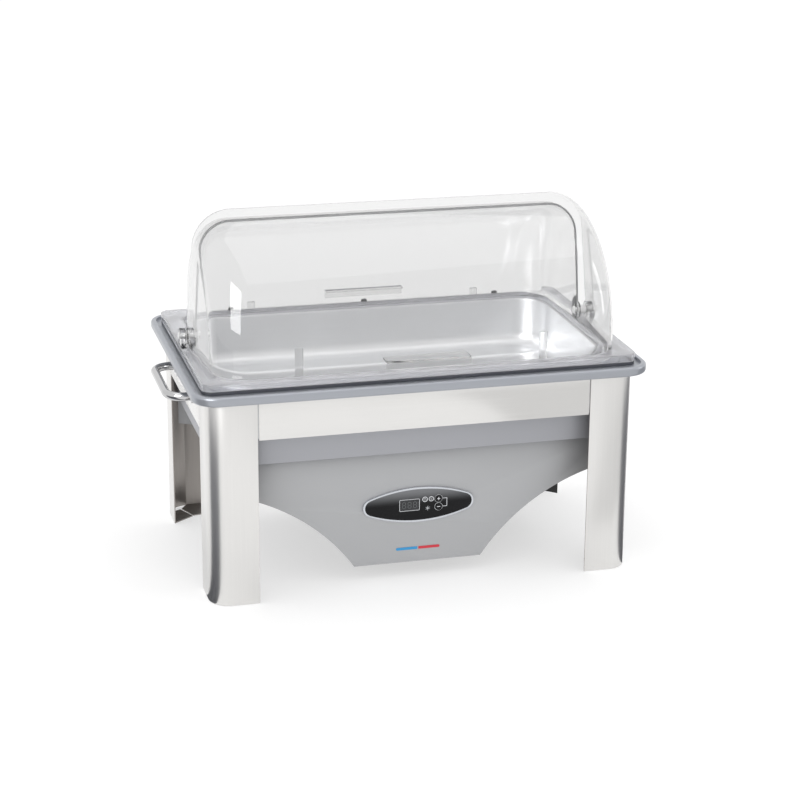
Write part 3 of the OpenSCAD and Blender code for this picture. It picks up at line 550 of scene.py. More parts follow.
def refine(node, finish, rounding, angle=30.0):
    """Copy of a CAD node with welded faces, rounded edges and smooth curves."""
    obj = bpy.data.objects.new(node + "_finished", NODES[node].data.copy())
    bpy.context.scene.collection.objects.link(obj)
    obj.data.materials.clear()
    bm = bmesh.new()
    bm.from_mesh(obj.data)
    bmesh.ops.remove_doubles(bm, verts=bm.verts, dist=2e-6)
    bmesh.ops.dissolve_limit(bm, angle_limit=radians(0.4), verts=bm.verts, edges=bm.edges)
    bm.to_mesh(obj.data)
    bm.free()
    if obj.data.has_custom_normals:
        obj.data.attributes.remove(obj.data.attributes["custom_normal"])
    if rounding:
        rounded(obj, rounding, angle)
    smooth(obj)
    return hand_over(obj, BODY_OF[node], finish, node)


def round_rect(half_x, half_y, radius, z, steps=10):
    """Points round a rounded rectangle, the same number whatever its size."""
    radius = max(min(radius, half_x, half_y), 1e-5)
    points = []
    for corner, (sx, sy) in enumerate(((1, 1), (-1, 1), (-1, -1), (1, -1))):
        for i in range(steps + 1):
            a = (corner + i / steps) * pi / 2
            points.append(Vector((sx * (half_x - radius) + radius * cos(a),
                                  sy * (half_y - radius) + radius * sin(a), z)))
    return points


def loft(name, loops, closed):
    """Skin over equal loops: closed joins the last loop to the first, open caps both ends."""
    n = len(loops[0])
    verts = [p for loop in loops for p in loop]
    faces = []
    spans = len(loops) if closed else len(loops) - 1
    for k in range(spans):
        a, b = k * n, ((k + 1) % len(loops)) * n
        faces += [(a + i, a + (i + 1) % n, b + (i + 1) % n, b + i) for i in range(n)]
    if not closed:
        faces.append(tuple(reversed(range(n))))
        faces.append(tuple(range((len(loops) - 1) * n, len(loops) * n)))
    obj = mesh_object(name, verts, faces)
    clean(obj)
    return obj


def arc(cx, cy, radius, start, stop, steps):
    """Points of an arc in degrees, both ends included."""
    return [(cx + radius * cos(radians(start + (stop - start) * i / steps)),
             cy + radius * sin(radians(start + (stop - start) * i / steps)))
            for i in range(steps + 1)]


def edge_round(half_x, half_y, corner, points):
    """Rounded rectangles (half x, half y, corner, height), grown outward by each point's first value."""
    return [(half_x + out, half_y + out, corner + out, up) for out, up in points]


def ring_loft(name, outline, angle):
    """Closed ring with smooth curves, through rounded rectangles given as in edge_round."""
    ring = loft(name, [round_rect(*corner_values, 14) for corner_values in outline], closed=True)
    smooth(ring, angle)
    return ring


def section_loops(half_x, half_y, radius, section, steps=12):
    """Loops for a section of (outward, up) points carried round a rounded rectangle."""
    return [round_rect(half_x + out, half_y + out, radius + out, up, steps) for out, up in section]


def flat_plate(name, points, depth_from, depth_to):
    """Plate cut to an outline of (x, z) points, standing in XZ between two depths."""
    n = len(points)
    verts = [(x, depth_from, z) for x, z in points] + [(x, depth_to, z) for x, z in points]
    faces = [tuple(range(n)), tuple(reversed(range(n, 2 * n)))]
    faces += [(i, (i + 1) % n, n + (i + 1) % n, n + i) for i in range(n)]
    obj = mesh_object(name, verts, faces)
    clean(obj)
    return obj


def joined(name, objects):
    """One mesh object from several, in the same place."""
    bm = bmesh.new()
    for obj in objects:
        bm.from_mesh(obj.data)
    mesh = bpy.data.meshes.new(name)
    bm.to_mesh(mesh)
    bm.free()
    for obj in objects:
        bpy.data.objects.remove(obj)
    whole = bpy.data.objects.new(name, mesh)
    bpy.context.scene.collection.objects.link(whole)
    return whole


# ---- Geometry Nodes helpers --------------------------------------------------------------------

class Tree:
    """A Geometry Nodes tree with named inputs, built node by node."""

    def __init__(self, name, inputs):
        self.tree = bpy.data.node_groups.new(name, "GeometryNodeTree")
        self.tree.interface.new_socket("Geometry", in_out="OUTPUT", socket_type="NodeSocketGeometry")
        self.ids = {}
        for label, kind, value in inputs:
            socket = self.tree.interface.new_socket(label, in_out="INPUT", socket_type=kind)
            if value is not None:
                socket.default_value = value
            self.ids[label] = socket.identifier
        self.inputs = self.tree.nodes.new("NodeGroupInput").outputs
        self.end = self.tree.nodes.new("NodeGroupOutput")

    def add(self, kind, settings=None, **links):
        node = self.tree.nodes.new(kind)
        for key, value in (settings or {}).items():
            setattr(node, key, value)
        for key, value in links.items():
            self.put(node, key.replace("_", " "), value)
        return node

    def put(self, node, label, value):
        feed(self.tree, node.inputs[int(label)] if label.isdigit() else node.inputs[label], value)

    def value(self, operation, a, b=0.0):
        return math_node(self.tree, operation, a, b)

    def vector(self, x=0.0, y=0.0, z=0.0):
        node = self.tree.nodes.new("ShaderNodeCombineXYZ")
        for label, value in zip("XYZ", (x, y, z)):
            self.put(node, label, value)
        return node.outputs[0]

    def moved(self, geometry, offset, turn=(0.0, 0.0, 0.0)):
        return self.add("GeometryNodeTransform", Geometry=geometry, Translation=offset,
                        Rotation=turn).outputs[0]

    def swept(self, path, sides, radius):
        """Round bar along a path, with closed ends."""
        section = self.add("GeometryNodeCurvePrimitiveCircle", {"mode": "RADIUS"}, Resolution=sides,
                           Radius=radius)
        return self.add("GeometryNodeCurveToMesh", Curve=path, Profile_Curve=section.outputs[0],
                        Fill_Caps=True).outputs[0]

    def finish(self, geometry):
        real = self.add("GeometryNodeRealizeInstances", Geometry=geometry)
        set_material = self.add("GeometryNodeSetMaterial", Geometry=real.outputs[0],
                                Material=self.inputs["Material"])
        self.tree.links.new(set_material.outputs[0], self.end.inputs[0])

    def grow(self, name, finish, **values):
        """Runs the tree on an empty mesh and returns the plain mesh object that it makes."""
        obj = bpy.data.objects.new(name, bpy.data.meshes.new(name))
        bpy.context.scene.collection.objects.link(obj)
        modifier = obj.modifiers.new(self.tree.name, "NODES")
        modifier.node_group = self.tree
        modifier[self.ids["Material"]] = FINISHES[finish]
        for label, value in values.items():
            modifier[self.ids[label.replace("_", " ")]] = value
        apply_modifiers(obj)
        return obj


def handle_tree():
    """A round bar that leaves a plate, bends, runs across, bends and returns to the plate."""
    t = Tree("Bail handle", [
        ("Span", FLOAT, 0.13), ("Reach", FLOAT, 0.03), ("Bar radius", FLOAT, 0.005),
        ("Bend radius", FLOAT, 0.02), ("Bend steps", INT, 12), ("Bar sides", INT, 24),
        ("Material", MATERIAL, None)])
    half = t.value("MULTIPLY", t.inputs["Span"], 0.5)
    minus = t.value("MULTIPLY", half, -1.0)
    quad = t.add("GeometryNodeCurvePrimitiveQuadrilateral", {"mode": "POINTS"})
    for i, (x, y) in enumerate(((0.0, minus), (t.inputs["Reach"], minus), (t.inputs["Reach"], half),
                                (0.0, half))):
        t.put(quad, f"Point {i + 1}", t.vector(x, y))
    is_open = t.add("GeometryNodeSetSplineCyclic", Geometry=quad.outputs[0], Cyclic=False)
    bent = t.add("GeometryNodeFilletCurve", Curve=is_open.outputs[0])
    if "Mode" in bent.inputs:
        bent.inputs["Mode"].default_value = "Poly"
    else:
        bent.mode = "POLY"
    t.put(bent, "Count", t.inputs["Bend steps"])
    t.put(bent, "Radius", t.inputs["Bend radius"])
    bar = t.swept(bent.outputs[0], t.inputs["Bar sides"], t.inputs["Bar radius"])
    shade = t.add("GeometryNodeSetShadeSmooth", Geometry=bar)
    t.finish(shade.outputs[0])
    return t


def louvre_tree():
    """Rows of pressed louvres: half round ridges along X, repeated in columns along Z."""
    t = Tree("Pressed louvres", [
        ("Length", FLOAT, 0.046), ("Radius", FLOAT, 0.003), ("Pitch", FLOAT, 0.013),
        ("Rows", INT, 6), ("Columns", INT, 2), ("Column pitch", FLOAT, 0.12),
        ("Centre", VECTOR, (0, 0, 0)), ("Material", MATERIAL, None)])
    half = t.value("MULTIPLY", t.inputs["Length"], 0.5)
    line = t.add("GeometryNodeCurvePrimitiveLine", Start=t.vector(t.value("MULTIPLY", half, -1.0)),
                 End=t.vector(half))
    ridge = t.swept(line.outputs[0], 16, t.inputs["Radius"])
    rows = t.value("MULTIPLY", t.value("SUBTRACT", t.inputs["Rows"], 1.0), t.inputs["Pitch"])
    columns = t.value("MULTIPLY", t.value("SUBTRACT", t.inputs["Columns"], 1.0),
                      t.inputs["Column pitch"])
    grid = t.add("GeometryNodeMeshGrid", Size_X=columns, Size_Y=rows, Vertices_X=t.inputs["Columns"],
                 Vertices_Y=t.inputs["Rows"])
    upright = t.moved(grid.outputs[0], t.inputs["Centre"], (pi / 2, 0.0, 0.0))
    ridges = t.add("GeometryNodeInstanceOnPoints", Points=upright, Instance=ridge)
    t.finish(ridges.outputs[0])
    return t


def stud_row_tree():
    """A straight row of turned studs, each a cylinder under a lower, narrower cap."""
    t = Tree("Row of studs", [
        ("Count", INT, 3), ("Pitch", FLOAT, 0.187), ("Radius", FLOAT, 0.004), ("Height", FLOAT, 0.004),
        ("Start", VECTOR, (0, 0, 0)), ("Material", MATERIAL, None)])
    body_h = t.value("MULTIPLY", t.inputs["Height"], 0.75)
    cap_h = t.value("MULTIPLY", t.inputs["Height"], 0.25)
    body = t.add("GeometryNodeMeshCylinder", Vertices=24, Radius=t.inputs["Radius"], Depth=body_h)
    low = t.moved(body.outputs[0], t.vector(0.0, 0.0, t.value("MULTIPLY", body_h, 0.5)))
    cap = t.add("GeometryNodeMeshCone", Vertices=24, Radius_Bottom=t.inputs["Radius"],
                Radius_Top=t.value("MULTIPLY", t.inputs["Radius"], 0.72), Depth=cap_h)
    high = t.moved(cap.outputs[0], t.vector(0.0, 0.0, body_h))
    both = t.add("GeometryNodeJoinGeometry")
    t.tree.links.new(low, both.inputs[0])
    t.tree.links.new(high, both.inputs[0])
    row = t.add("GeometryNodeMeshLine", Count=t.inputs["Count"], Start_Location=t.inputs["Start"],
                Offset=t.vector(t.inputs["Pitch"]))
    studs = t.add("GeometryNodeInstanceOnPoints", Points=row.outputs[0], Instance=both.outputs[0])
    t.finish(studs.outputs[0])
    return t


def vane_tree():
    """Slanted vanes set round a hub."""
    t = Tree("Round vanes", [
        ("Vanes", INT, 24), ("Hub", FLOAT, 0.006), ("Tip", FLOAT, 0.026), ("Depth", FLOAT, 0.0012),
        ("Centre", VECTOR, (0, 0, 0)), ("Material", MATERIAL, None)])
    long = t.value("SUBTRACT", t.inputs["Tip"], t.inputs["Hub"])
    reach = t.value("ADD", t.inputs["Hub"], t.value("MULTIPLY", long, 0.5))
    grid = t.add("GeometryNodeMeshGrid", Size_X=long, Size_Y=t.inputs["Depth"], Vertices_X=8,
                 Vertices_Y=6)
    thick = t.add("GeometryNodeExtrudeMesh", {"mode": "FACES"}, Mesh=grid.outputs[0],
                  Offset_Scale=0.0012, Individual=False)
    placed = t.moved(thick.outputs[0], t.vector(reach), (radians(38), 0.0, 0.0))
    circle = t.add("GeometryNodeMeshCircle", Vertices=t.inputs["Vanes"], Radius=0.0001)
    index = t.add("GeometryNodeInputIndex")
    turn = t.value("MULTIPLY", t.value("DIVIDE", index.outputs[0], t.inputs["Vanes"]), 2 * pi)
    vanes = t.add("GeometryNodeInstanceOnPoints", Points=t.moved(circle.outputs[0], t.inputs["Centre"]),
                  Instance=placed, Rotation=t.vector(0.0, 0.0, turn))
    t.finish(vanes.outputs[0])
    return t


# ---- Pieces ------------------------------------------------------------------------------------

class ChaferOperator(bpy.types.Operator):
    """Shared base of the chafer's operators"""
    bl_options = {"REGISTER", "UNDO"}


class CHAFER_OT_stand(ChaferOperator):
    """Bent legs with folded feet, aprons, chassis frame, nuts and floor pads"""
    bl_idname = "chafer.stand"
    bl_label = "Stand"

    def execute(self, context):
        edge = context.scene.chafer_metal.edge_round
        for side in ("front_left", "front_right", "rear_left", "rear_right"):
            self.shade_inside(refine("leg_" + side, "legs", edge))
        for side in ("front", "rear"):
            refine("apron_" + side, "aprons", edge)
        for side in ("left", "right"):
            refine("apron_" + side, "side_aprons", edge)
        for node, finish, rounding in (
                ("chassis_frame", "zinc", edge),
                ("chassis_nuts", "zinc", 0.0002),
                ("foot_pads", "rubber", 0.0002)):
            refine(node, finish, rounding)
        return {"FINISHED"}

    def shade_inside(self, leg):
        """Gives the faces that look toward the middle of the stand, and the upward ones, the rougher
        inside finish, whose darker colour is painted shade.
        """
        leg.data.materials.append(FINISHES["leg_insides"])
        corners = [Vector(c) for c in leg.bound_box]
        middle = sum(corners, Vector()) / len(corners)
        side_x, side_y = (1 if middle.x > 0 else -1), (1 if middle.y > 0 else -1)
        for face in leg.data.polygons:
            inward = -min(face.normal.x * side_x, face.normal.y * side_y)
            if inward > 0.3 or face.normal.z > 0.5:
                face.material_index = 1


class CHAFER_OT_rim(ChaferOperator):
    """Silver rim with a rounded lip, a channel and the ledge that carries the pan"""
    bl_idname = "chafer.rim"
    bl_label = "Rim"

    def execute(self, context):
        low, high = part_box("top_rim")
        pan_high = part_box("food_pan")[1]
        half_x, half_y, bottom, top = high.x, high.y, low.z, high.z
        corner, edge, lip, bead, soft = 0.033, 0.0035, 0.007, 0.0012, 0.0005
        pan_edge, channel_depth, steps_in, ledge_corner, hole_corner = 0.0025, 0.004, 0.009, 0.034, 0.040
        ledge_top, channel = pan_high.z - pan_edge, top - channel_depth
        hole_x, hole_y = pan_high.x - steps_in, pan_high.y - steps_in
        ledge_x, ledge_y = pan_high.x + 0.003, pan_high.y + 0.002
        body = arc(-edge, bottom + edge, edge, -90, 0, 6) + arc(-edge, top - edge, edge, 0, 90, 6)
        body += arc(bead - lip, top - bead, bead, 90, 180, 3)
        outline = edge_round(half_x, half_y, corner, body)
        outline += [(half_x - lip, half_y - lip, corner - lip, channel),
                    (ledge_x, ledge_y, ledge_corner, channel)]
        outline += edge_round(ledge_x, ledge_y, ledge_corner,
                              arc(-soft, ledge_top - soft, soft, 0, 90, 2))
        outline += [(hole_x - out, hole_y - out, hole_corner, up)
                    for out, up in arc(-soft, ledge_top - soft, soft, 90, 0, 2)]
        outline.append((hole_x, hole_y, hole_corner, bottom))
        rim = ring_loft("top_rim_finished", outline, 50.0)
        hand_over(rim, "base", "rim", "top_rim")
        # The dark gasket in the channel is painted shade: it stands in for the shadow gap under the
        # tray's edge.
        refine("rim_gasket", "gasket", 0.0004)
        return {"FINISHED"}


class CHAFER_OT_well(ChaferOperator):
    """Liner, insulation, casing and the cold plate under the liner"""
    bl_idname = "chafer.well"
    bl_label = "Well"

    def execute(self, context):
        edge = context.scene.chafer_metal.edge_round
        for node, finish, rounding in (
                ("well_liner", "well", 0),
                ("insulation", "foam", 0.0004),
                # The casing's finish carries painted shade: it is darker than the panels' paint.
                ("well_casing", "casing", edge),
                ("cold_plate", "aluminium", edge),
                ("peltier_modules", "ceramic", 0.0002)):
            refine(node, finish, rounding)
        return {"FINISHED"}


class CHAFER_OT_panels(ChaferOperator):
    """Front and rear panels with their arches, louvres, the shell between them and screws"""
    bl_idname = "chafer.panels"
    bl_label = "Panels"

    def execute(self, context):
        edge = context.scene.chafer_metal.edge_round
        for node, finish, rounding in (
                ("front_panel", "panels", edge),
                ("rear_panel", "panels", edge),
                ("under_shell", "black_sheet", edge),
                ("panel_screws", "zinc", 0.0002)):
            refine(node, finish, rounding)
        low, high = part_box("rear_panel")
        fan_middle = middle_of("fan_frame_right")
        rows, pitch, radius, first_row = 6, 0.013, 0.0026, 0.0479
        louvres = louvre_tree().grow(
            "rear_louvres", "panels", Length=0.048, Radius=radius, Pitch=pitch, Rows=rows, Columns=2,
            Column_pitch=2 * fan_middle.x,
            Centre=(0.0, high.y - radius, low.z + first_row + (rows - 1) / 2 * pitch))
        smooth(louvres)
        hand_over(louvres, "base", "panels")
        return {"FINISHED"}


class CHAFER_OT_mains(ChaferOperator):
    """Mains box with its inlet, pins and rocker switch"""
    bl_idname = "chafer.mains"
    bl_label = "Mains box"

    def execute(self, context):
        for node, finish, rounding in (
                ("mains_box", "black_sheet", 0.0008),
                ("mains_inlet", "black_plastic", 0.0005),
                ("inlet_pins", "zinc", 0.0004),
                ("rocker_frame", "black_plastic", 0.0004),
                ("rocker_switch", "red_plastic", 0.0005)):
            refine(node, finish, rounding)
        return {"FINISHED"}


def ring_mark(name, x, z, radius, width, y0, y1, steps=32):
    """Thin flat ring printed on the fascia."""
    loops = []
    for r, y in ((radius, y0), (radius, y1), (radius - width, y1), (radius - width, y0)):
        loops.append([Vector((x + r * cos(2 * pi * i / steps), y, z + r * sin(2 * pi * i / steps)))
                      for i in range(steps)])
    return loft(name, loops, closed=True)


def bar_mark(name, x, z, long, wide, turn, y0, y1):
    """Thin straight stroke with mitred ends, centred on a point."""
    c, s = cos(turn), sin(turn)
    nose = min(wide * 0.35, long * 0.2)
    outline = [(-long / 2, 0), (-long / 2 + nose, -wide / 2), (long / 2 - nose, -wide / 2),
               (long / 2, 0), (long / 2 - nose, wide / 2), (-long / 2 + nose, wide / 2)]
    return flat_plate(name, [(x + a * c - b * s, z + a * s + b * c) for a, b in outline], y0, y1)


class CHAFER_OT_controls(ChaferOperator):
    """Oval control panel: bezel, gloss fascia, display, lamp, keys and their printed marks"""
    bl_idname = "chafer.controls"
    bl_label = "Control panel"

    def execute(self, context):
        for node, finish, rounding in (
                ("control_bezel", "bezel", 0.0005),
                ("control_fascia", "fascia", 0.0002),
                ("display_window", "window", 0.0002),
                ("display_module", "display", 0.0003),
                ("control_board", "board", 0.0002),
                ("mode_lamp", "lamp", 0.0003)):
            refine(node, finish, rounding)
        marks = self.fascia_marks(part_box("control_fascia")[0].y)
        hand_over(joined("fascia_marks", marks), "base", "marks")
        for key in ("plus", "minus", "power", "mode"):
            node = "key_" + key
            refine(node, "keys", 0.00025)
            hand_over(joined(node + "_marks", self.key_marks(key, node)), node, "marks")
        segments = self.display_segments(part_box("display_window"))
        hand_over(joined("display_segments", segments), "base", "segments")
        self.colour_bar()
        return {"FINISHED"}

    def fascia_marks(self, face):
        y0, y1 = face - 0.00006, face + 0.00004
        win_low, win_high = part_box("display_window")
        middle, half = (win_low + win_high) / 2, (win_high - win_low) / 2
        frame_loops = []
        for grow, y in ((0.0006, y0), (0.0006, y1), (0.00005, y1), (0.00005, y0)):
            loop = round_rect(half.x + grow, half.z + grow, 0.0008 + grow, 0.0, 4)
            frame_loops.append([Vector((middle.x + p.x, y, middle.z + p.y)) for p in loop])
        marks = [loft("window_outline", frame_loops, closed=True)]
        plus, minus = middle_of("key_plus"), middle_of("key_minus")
        plus_z, minus_z, key_x = plus.z, minus.z, plus.x
        key_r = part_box("key_plus")[1].z - plus_z
        out = key_x + 0.011
        wide = 0.0007
        for z in (plus_z, minus_z):
            marks.append(bar_mark("rail", (key_x + key_r + out) / 2 + 0.0003, z,
                                  out - key_x - key_r - 0.0006, wide, 0.0, y0, y1))
            marks.append(ring_mark("key_ring", key_x, z, key_r + 0.0004, 0.0007, y0, y1))
        marks.append(bar_mark("rail", out, (plus_z + minus_z) / 2, plus_z - minus_z + wide, wide,
                              pi / 2, y0, y1))
        for key in ("power", "mode"):
            middle = middle_of("key_" + key)
            r = 0.0031 if key == "power" else 0.0029
            marks.append(ring_mark("small_ring", middle.x, middle.z, r + 0.0004, 0.0008, y0 - 0.0006, y1))
        lamp = middle_of("mode_lamp")
        for k in range(3):
            marks.append(bar_mark("flake", lamp.x, lamp.z, 0.0062, 0.00032, k * pi / 3 + pi / 6,
                                  y0 - 0.0001, y1))
        return marks

    def key_marks(self, key, node):
        middle, face = middle_of(node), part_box(node)[0].y
        x, z = middle.x, middle.z
        y0, y1 = face - 0.00006, face + 0.00004
        size = 0.0044
        if key == "plus":
            return [bar_mark("plus_a", x, z, size, 0.0008, 0.0, y0, y1),
                    bar_mark("plus_b", x, z, size, 0.0008, pi / 2, y0 - 0.00002, y1)]
        if key == "minus":
            return [bar_mark("minus", x, z, size, 0.0008, 0.0, y0, y1)]
        if key == "power":
            return [ring_mark("power", x, z, 0.0016, 0.0004, y0, y1),
                    bar_mark("power_stroke", x, z + 0.0010, 0.0018, 0.0005, pi / 2, y0 - 0.00002, y1)]
        return [bar_mark("mode", x, z + d, 0.0026, 0.0005, 0.0, y0, y1) for d in (-0.0008, 0.0008)]

    def display_segments(self, window):
        """Three unlit seven-stroke digits behind the window's face."""
        low, high = window
        y0, y1 = low.y - 0.00008, low.y + 0.00002
        pitch, digit_w, digit_h, stroke = 0.0072, 0.0040, 0.0080, 0.0008
        middle = (low + high) / 2
        strokes = []
        for k in (-1, 0, 1):
            x = middle.x + k * pitch
            for dz in (-digit_h / 2, 0.0, digit_h / 2):
                strokes.append(bar_mark("seg", x, middle.z + dz, digit_w * 0.8, stroke, 0.0, y0, y1))
            for dx in (-digit_w / 2, digit_w / 2):
                for dz in (-digit_h / 4, digit_h / 4):
                    strokes.append(bar_mark("seg", x + dx, middle.z + dz, digit_h * 0.42, stroke,
                                            pi / 2, y0, y1))
        return strokes

    def colour_bar(self):
        """Plain two-colour bar for cold and hot, with no lettering."""
        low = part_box("front_panel")[0]
        face, z, half, tall, gap = low.y, low.z + 0.0185, 0.029, 0.0035, 0.0008
        for name, finish, side in (("cold_bar", "cold", -1), ("hot_bar", "hot", 1)):
            inner, outer, r = side * gap, side * (half - tall / 2), tall / 2
            turn = 0 if side > 0 else 180
            outline = arc(outer, z, r, turn - 90, turn + 90, 8)
            outline += [(inner, z + side * r), (inner, z - side * r)]
            bar = flat_plate(name, outline, face - 0.0004, face + 0.0001)
            hand_over(bar, "base", finish)


class CHAFER_OT_handles(ChaferOperator):
    """Chromed bail handles with their feet and screws"""
    bl_idname = "chafer.handles"
    bl_label = "Handles"

    def execute(self, context):
        props = context.scene.chafer_handle
        tree = handle_tree()
        plane, stand_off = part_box("apron_right")[1].x, 0.0012
        for side, sign in (("right", 1), ("left", -1)):
            low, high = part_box("handle_" + side)
            z = (low.z + high.z) / 2
            reach = (high.x if sign > 0 else -low.x) - plane - props.bar_radius
            bar = tree.grow("handle_bar", "chrome", Span=props.span, Reach=reach - stand_off,
                            Bar_radius=props.bar_radius, Bend_radius=props.bend_radius,
                            Bend_steps=14, Bar_sides=28)
            bar.data.transform(Matrix.Translation((plane + stand_off, 0.0, z)))
            feet = [self.foot(s, plane, z, props.span) for s in (-1, 1)]
            whole = joined("handle_" + side + "_finished", [bar] + feet)
            if sign < 0:
                whole.data.transform(Matrix.Diagonal((-1, 1, 1, 1)))
            clean(whole, 1e-7)
            smooth(whole)
            hand_over(whole, "base", "chrome", "handle_" + side)
        refine("handle_screws", "zinc", 0.0003)
        return {"FINISHED"}

    def foot(self, s, plane, z, span):
        """Flattened foot of an arm: a rounded plate with a softened face."""
        r, thick, soft = 0.009, 0.003, 0.0008
        inner, outer = s * (span / 2 - 0.017), s * span / 2
        loops = []
        for shrink, x in ((0, plane), (0, plane + thick - soft), (soft * 0.3, plane + thick - soft * 0.3),
                          (soft, plane + thick)):
            left, right = sorted((inner, outer))
            ends = arc(right, z, r - shrink, -90, 90, 12) + arc(left, z, r - shrink, 90, 270, 12)
            loops.append([Vector((x, y, zz)) for y, zz in ends])
        return loft("foot", loops, closed=False)


class CHAFER_OT_cooling(ChaferOperator):
    """Heat sinks, fans and power supply under the well"""
    bl_idname = "chafer.cooling"
    bl_label = "Cooling"

    def execute(self, context):
        for side in ("left", "right"):
            refine("heat_sink_" + side, "aluminium", 0.0002)
            refine("fan_frame_" + side, "black_plastic", 0.0006)
            refine("fan_rotor_" + side, "black_plastic", 0.0004)
        refine("power_supply", "zinc", 0.001)
        middle, proud = middle_of("power_supply"), 0.0002
        grille = vane_tree().grow("power_supply_grille", "black_plastic", Vanes=24, Hub=0.006, Tip=0.026,
                                  Depth=0.0012, Centre=(middle.x, middle.y,
                                                        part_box("power_supply")[1].z + proud))
        smooth(grille)
        hand_over(grille, "base", "black_plastic")
        return {"FINISHED"}


class CHAFER_OT_pan(ChaferOperator):
    """Full size food pan with a rolled flange and rounded floor"""
    bl_idname = "chafer.pan"
    bl_label = "Food pan"

    def execute(self, context):
        props = context.scene.chafer_pan
        low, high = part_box("food_pan")
        t, f, r = props.sheet, props.floor_round, props.corner
        inner_x, inner_y = high.x - props.flange, high.y - props.flange
        top, floor = high.z, low.z + t
        roll = 0.0012
        inside = [(-f - 0.03, floor)] + arc(-f, floor + f, f, -90, 0, 8)
        flange = arc(roll + t, top - roll - t, roll + t, 180, 90, 5)
        edge = arc(props.flange - 0.0012, top - 0.0012, 0.0012, 90, 0, 5)
        edge += [(props.flange, top - 0.0025), (props.flange - t, top - 0.0025)]
        under = arc(props.flange - 0.0012, top - 0.0012, 0.0012 - t, 0, 90, 3)
        under += arc(roll + t, top - roll - t, roll, 90, 180, 5)
        outside = arc(-f, floor + f, f + t, 0, -90, 8) + [(-f - 0.03, floor - t)]
        chain = inside + flange + edge + under + outside
        loops = section_loops(inner_x, inner_y, r, chain, 14)
        pan = loft("food_pan_finished", loops, closed=False)
        smooth(pan, 60.0)
        hand_over(pan, "food_pan", "pan", "food_pan")
        return {"FINISHED"}


class CHAFER_OT_tray(ChaferOperator):
    """Clear cover tray with its pivot brackets, pins, spacers, guide posts and rear buffers"""
    bl_idname = "chafer.tray"
    bl_label = "Cover tray"

    def execute(self, context):
        low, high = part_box("cover_tray")
        pan_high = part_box("food_pan")[1]
        inset, wall, outer_r, hole_r, soft = 0.011, 0.0025, 0.014, 0.040, 0.0009
        hole_x, hole_y = pan_high.x - inset, pan_high.y - inset
        top, bottom = high.z, low.z
        outline = [(high.x, high.y, outer_r, bottom)]
        outline += edge_round(high.x, high.y, outer_r, arc(-soft, top - soft, soft, 0, 90, 4))
        outline += [(hole_x - out, hole_y - out, hole_r - out, up)
                    for out, up in arc(-soft, top - soft, soft, 90, 0, 4)]
        outline += [(hole_x, hole_y, hole_r, bottom)]
        outline += edge_round(hole_x, hole_y, hole_r, [(wall, bottom), (wall, top - wall)])
        outline += edge_round(high.x, high.y, outer_r, [(-wall, top - wall), (-wall, bottom)])
        tray = ring_loft("cover_tray_finished", outline, 45.0)
        hand_over(tray, "cover", "clear_tray", "cover_tray")
        for node, finish, rounding in (
                ("pivot_brackets", "clear_grip", 0.0006),
                ("guide_posts", "clear_grip", 0.0006),
                ("pivot_pins", "white_plastic", 0.0004),
                ("pivot_spacers", "white_plastic", 0.0003)):
            refine(node, finish, rounding)
        low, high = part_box("rear_buffers")
        radius = 0.004
        buffers = stud_row_tree().grow(
            "rear_buffers_finished", "rubber", Count=3, Pitch=(high.x - low.x - 2 * radius) / 2,
            Radius=radius, Height=high.z - low.z, Start=(low.x + radius, (low.y + high.y) / 2, low.z))
        smooth(buffers)
        hand_over(buffers, "cover", "rubber", "rear_buffers")
        return {"FINISHED"}


def hood_profile(half, radius, corner, draft, steps=14):
    """Half cover's section as (out from the pivot, along the pivot), from one end to the other."""
    middle = half - corner / cos(draft) - (radius - corner) * tan(draft)
    side = [(0.0, half)]
    turned = (radius - corner + corner * sin(draft), middle + corner * cos(draft))
    side += [(turned[0] * k / 5, half + (turned[1] - half) * k / 5) for k in range(1, 5)]
    for i in range(steps + 1):
        a = (pi / 2 - draft) * (1 - i / steps)
        side.append((radius - corner + corner * cos(a), middle + corner * sin(a)))
    return side + [(r, -x) for r, x in reversed(side)]


def hood_shell(name, half, radius, corner, draft, wall, skirt, steps, sign):
    """Closed clear shell of one half: a straight skirt, then a quarter turn about the pivot."""
    outer = hood_profile(half, radius, corner, draft)
    inner = hood_profile(half - wall / cos(draft), radius - wall, corner - wall, draft)
    section = outer + list(reversed(inner))
    stations = [None] + [pi / 2 * i / steps for i in range(steps + 1)]
    loops = []
    for angle in stations:
        loop = []
        for r, x in section:
            if angle is None:
                loop.append(Vector((x, sign * r, skirt)))
            else:
                loop.append(Vector((x, sign * r * cos(angle), PIVOT.z + r * sin(angle))))
        loops.append(loop)
    n, m = len(section), len(outer)
    verts = [p for loop in loops for p in loop]
    faces = []
    for k in range(len(loops) - 1):
        a, b = k * n, (k + 1) * n
        faces += [(a + i, a + (i + 1) % n, b + (i + 1) % n, b + i) for i in range(n)]
    for base in (0, (len(loops) - 1) * n):
        faces += [(base + i, base + i + 1, base + n - 2 - i, base + n - 1 - i) for i in range(m - 1)]
    shell = mesh_object(name, verts, faces)
    clean(shell, 1e-5)
    return shell


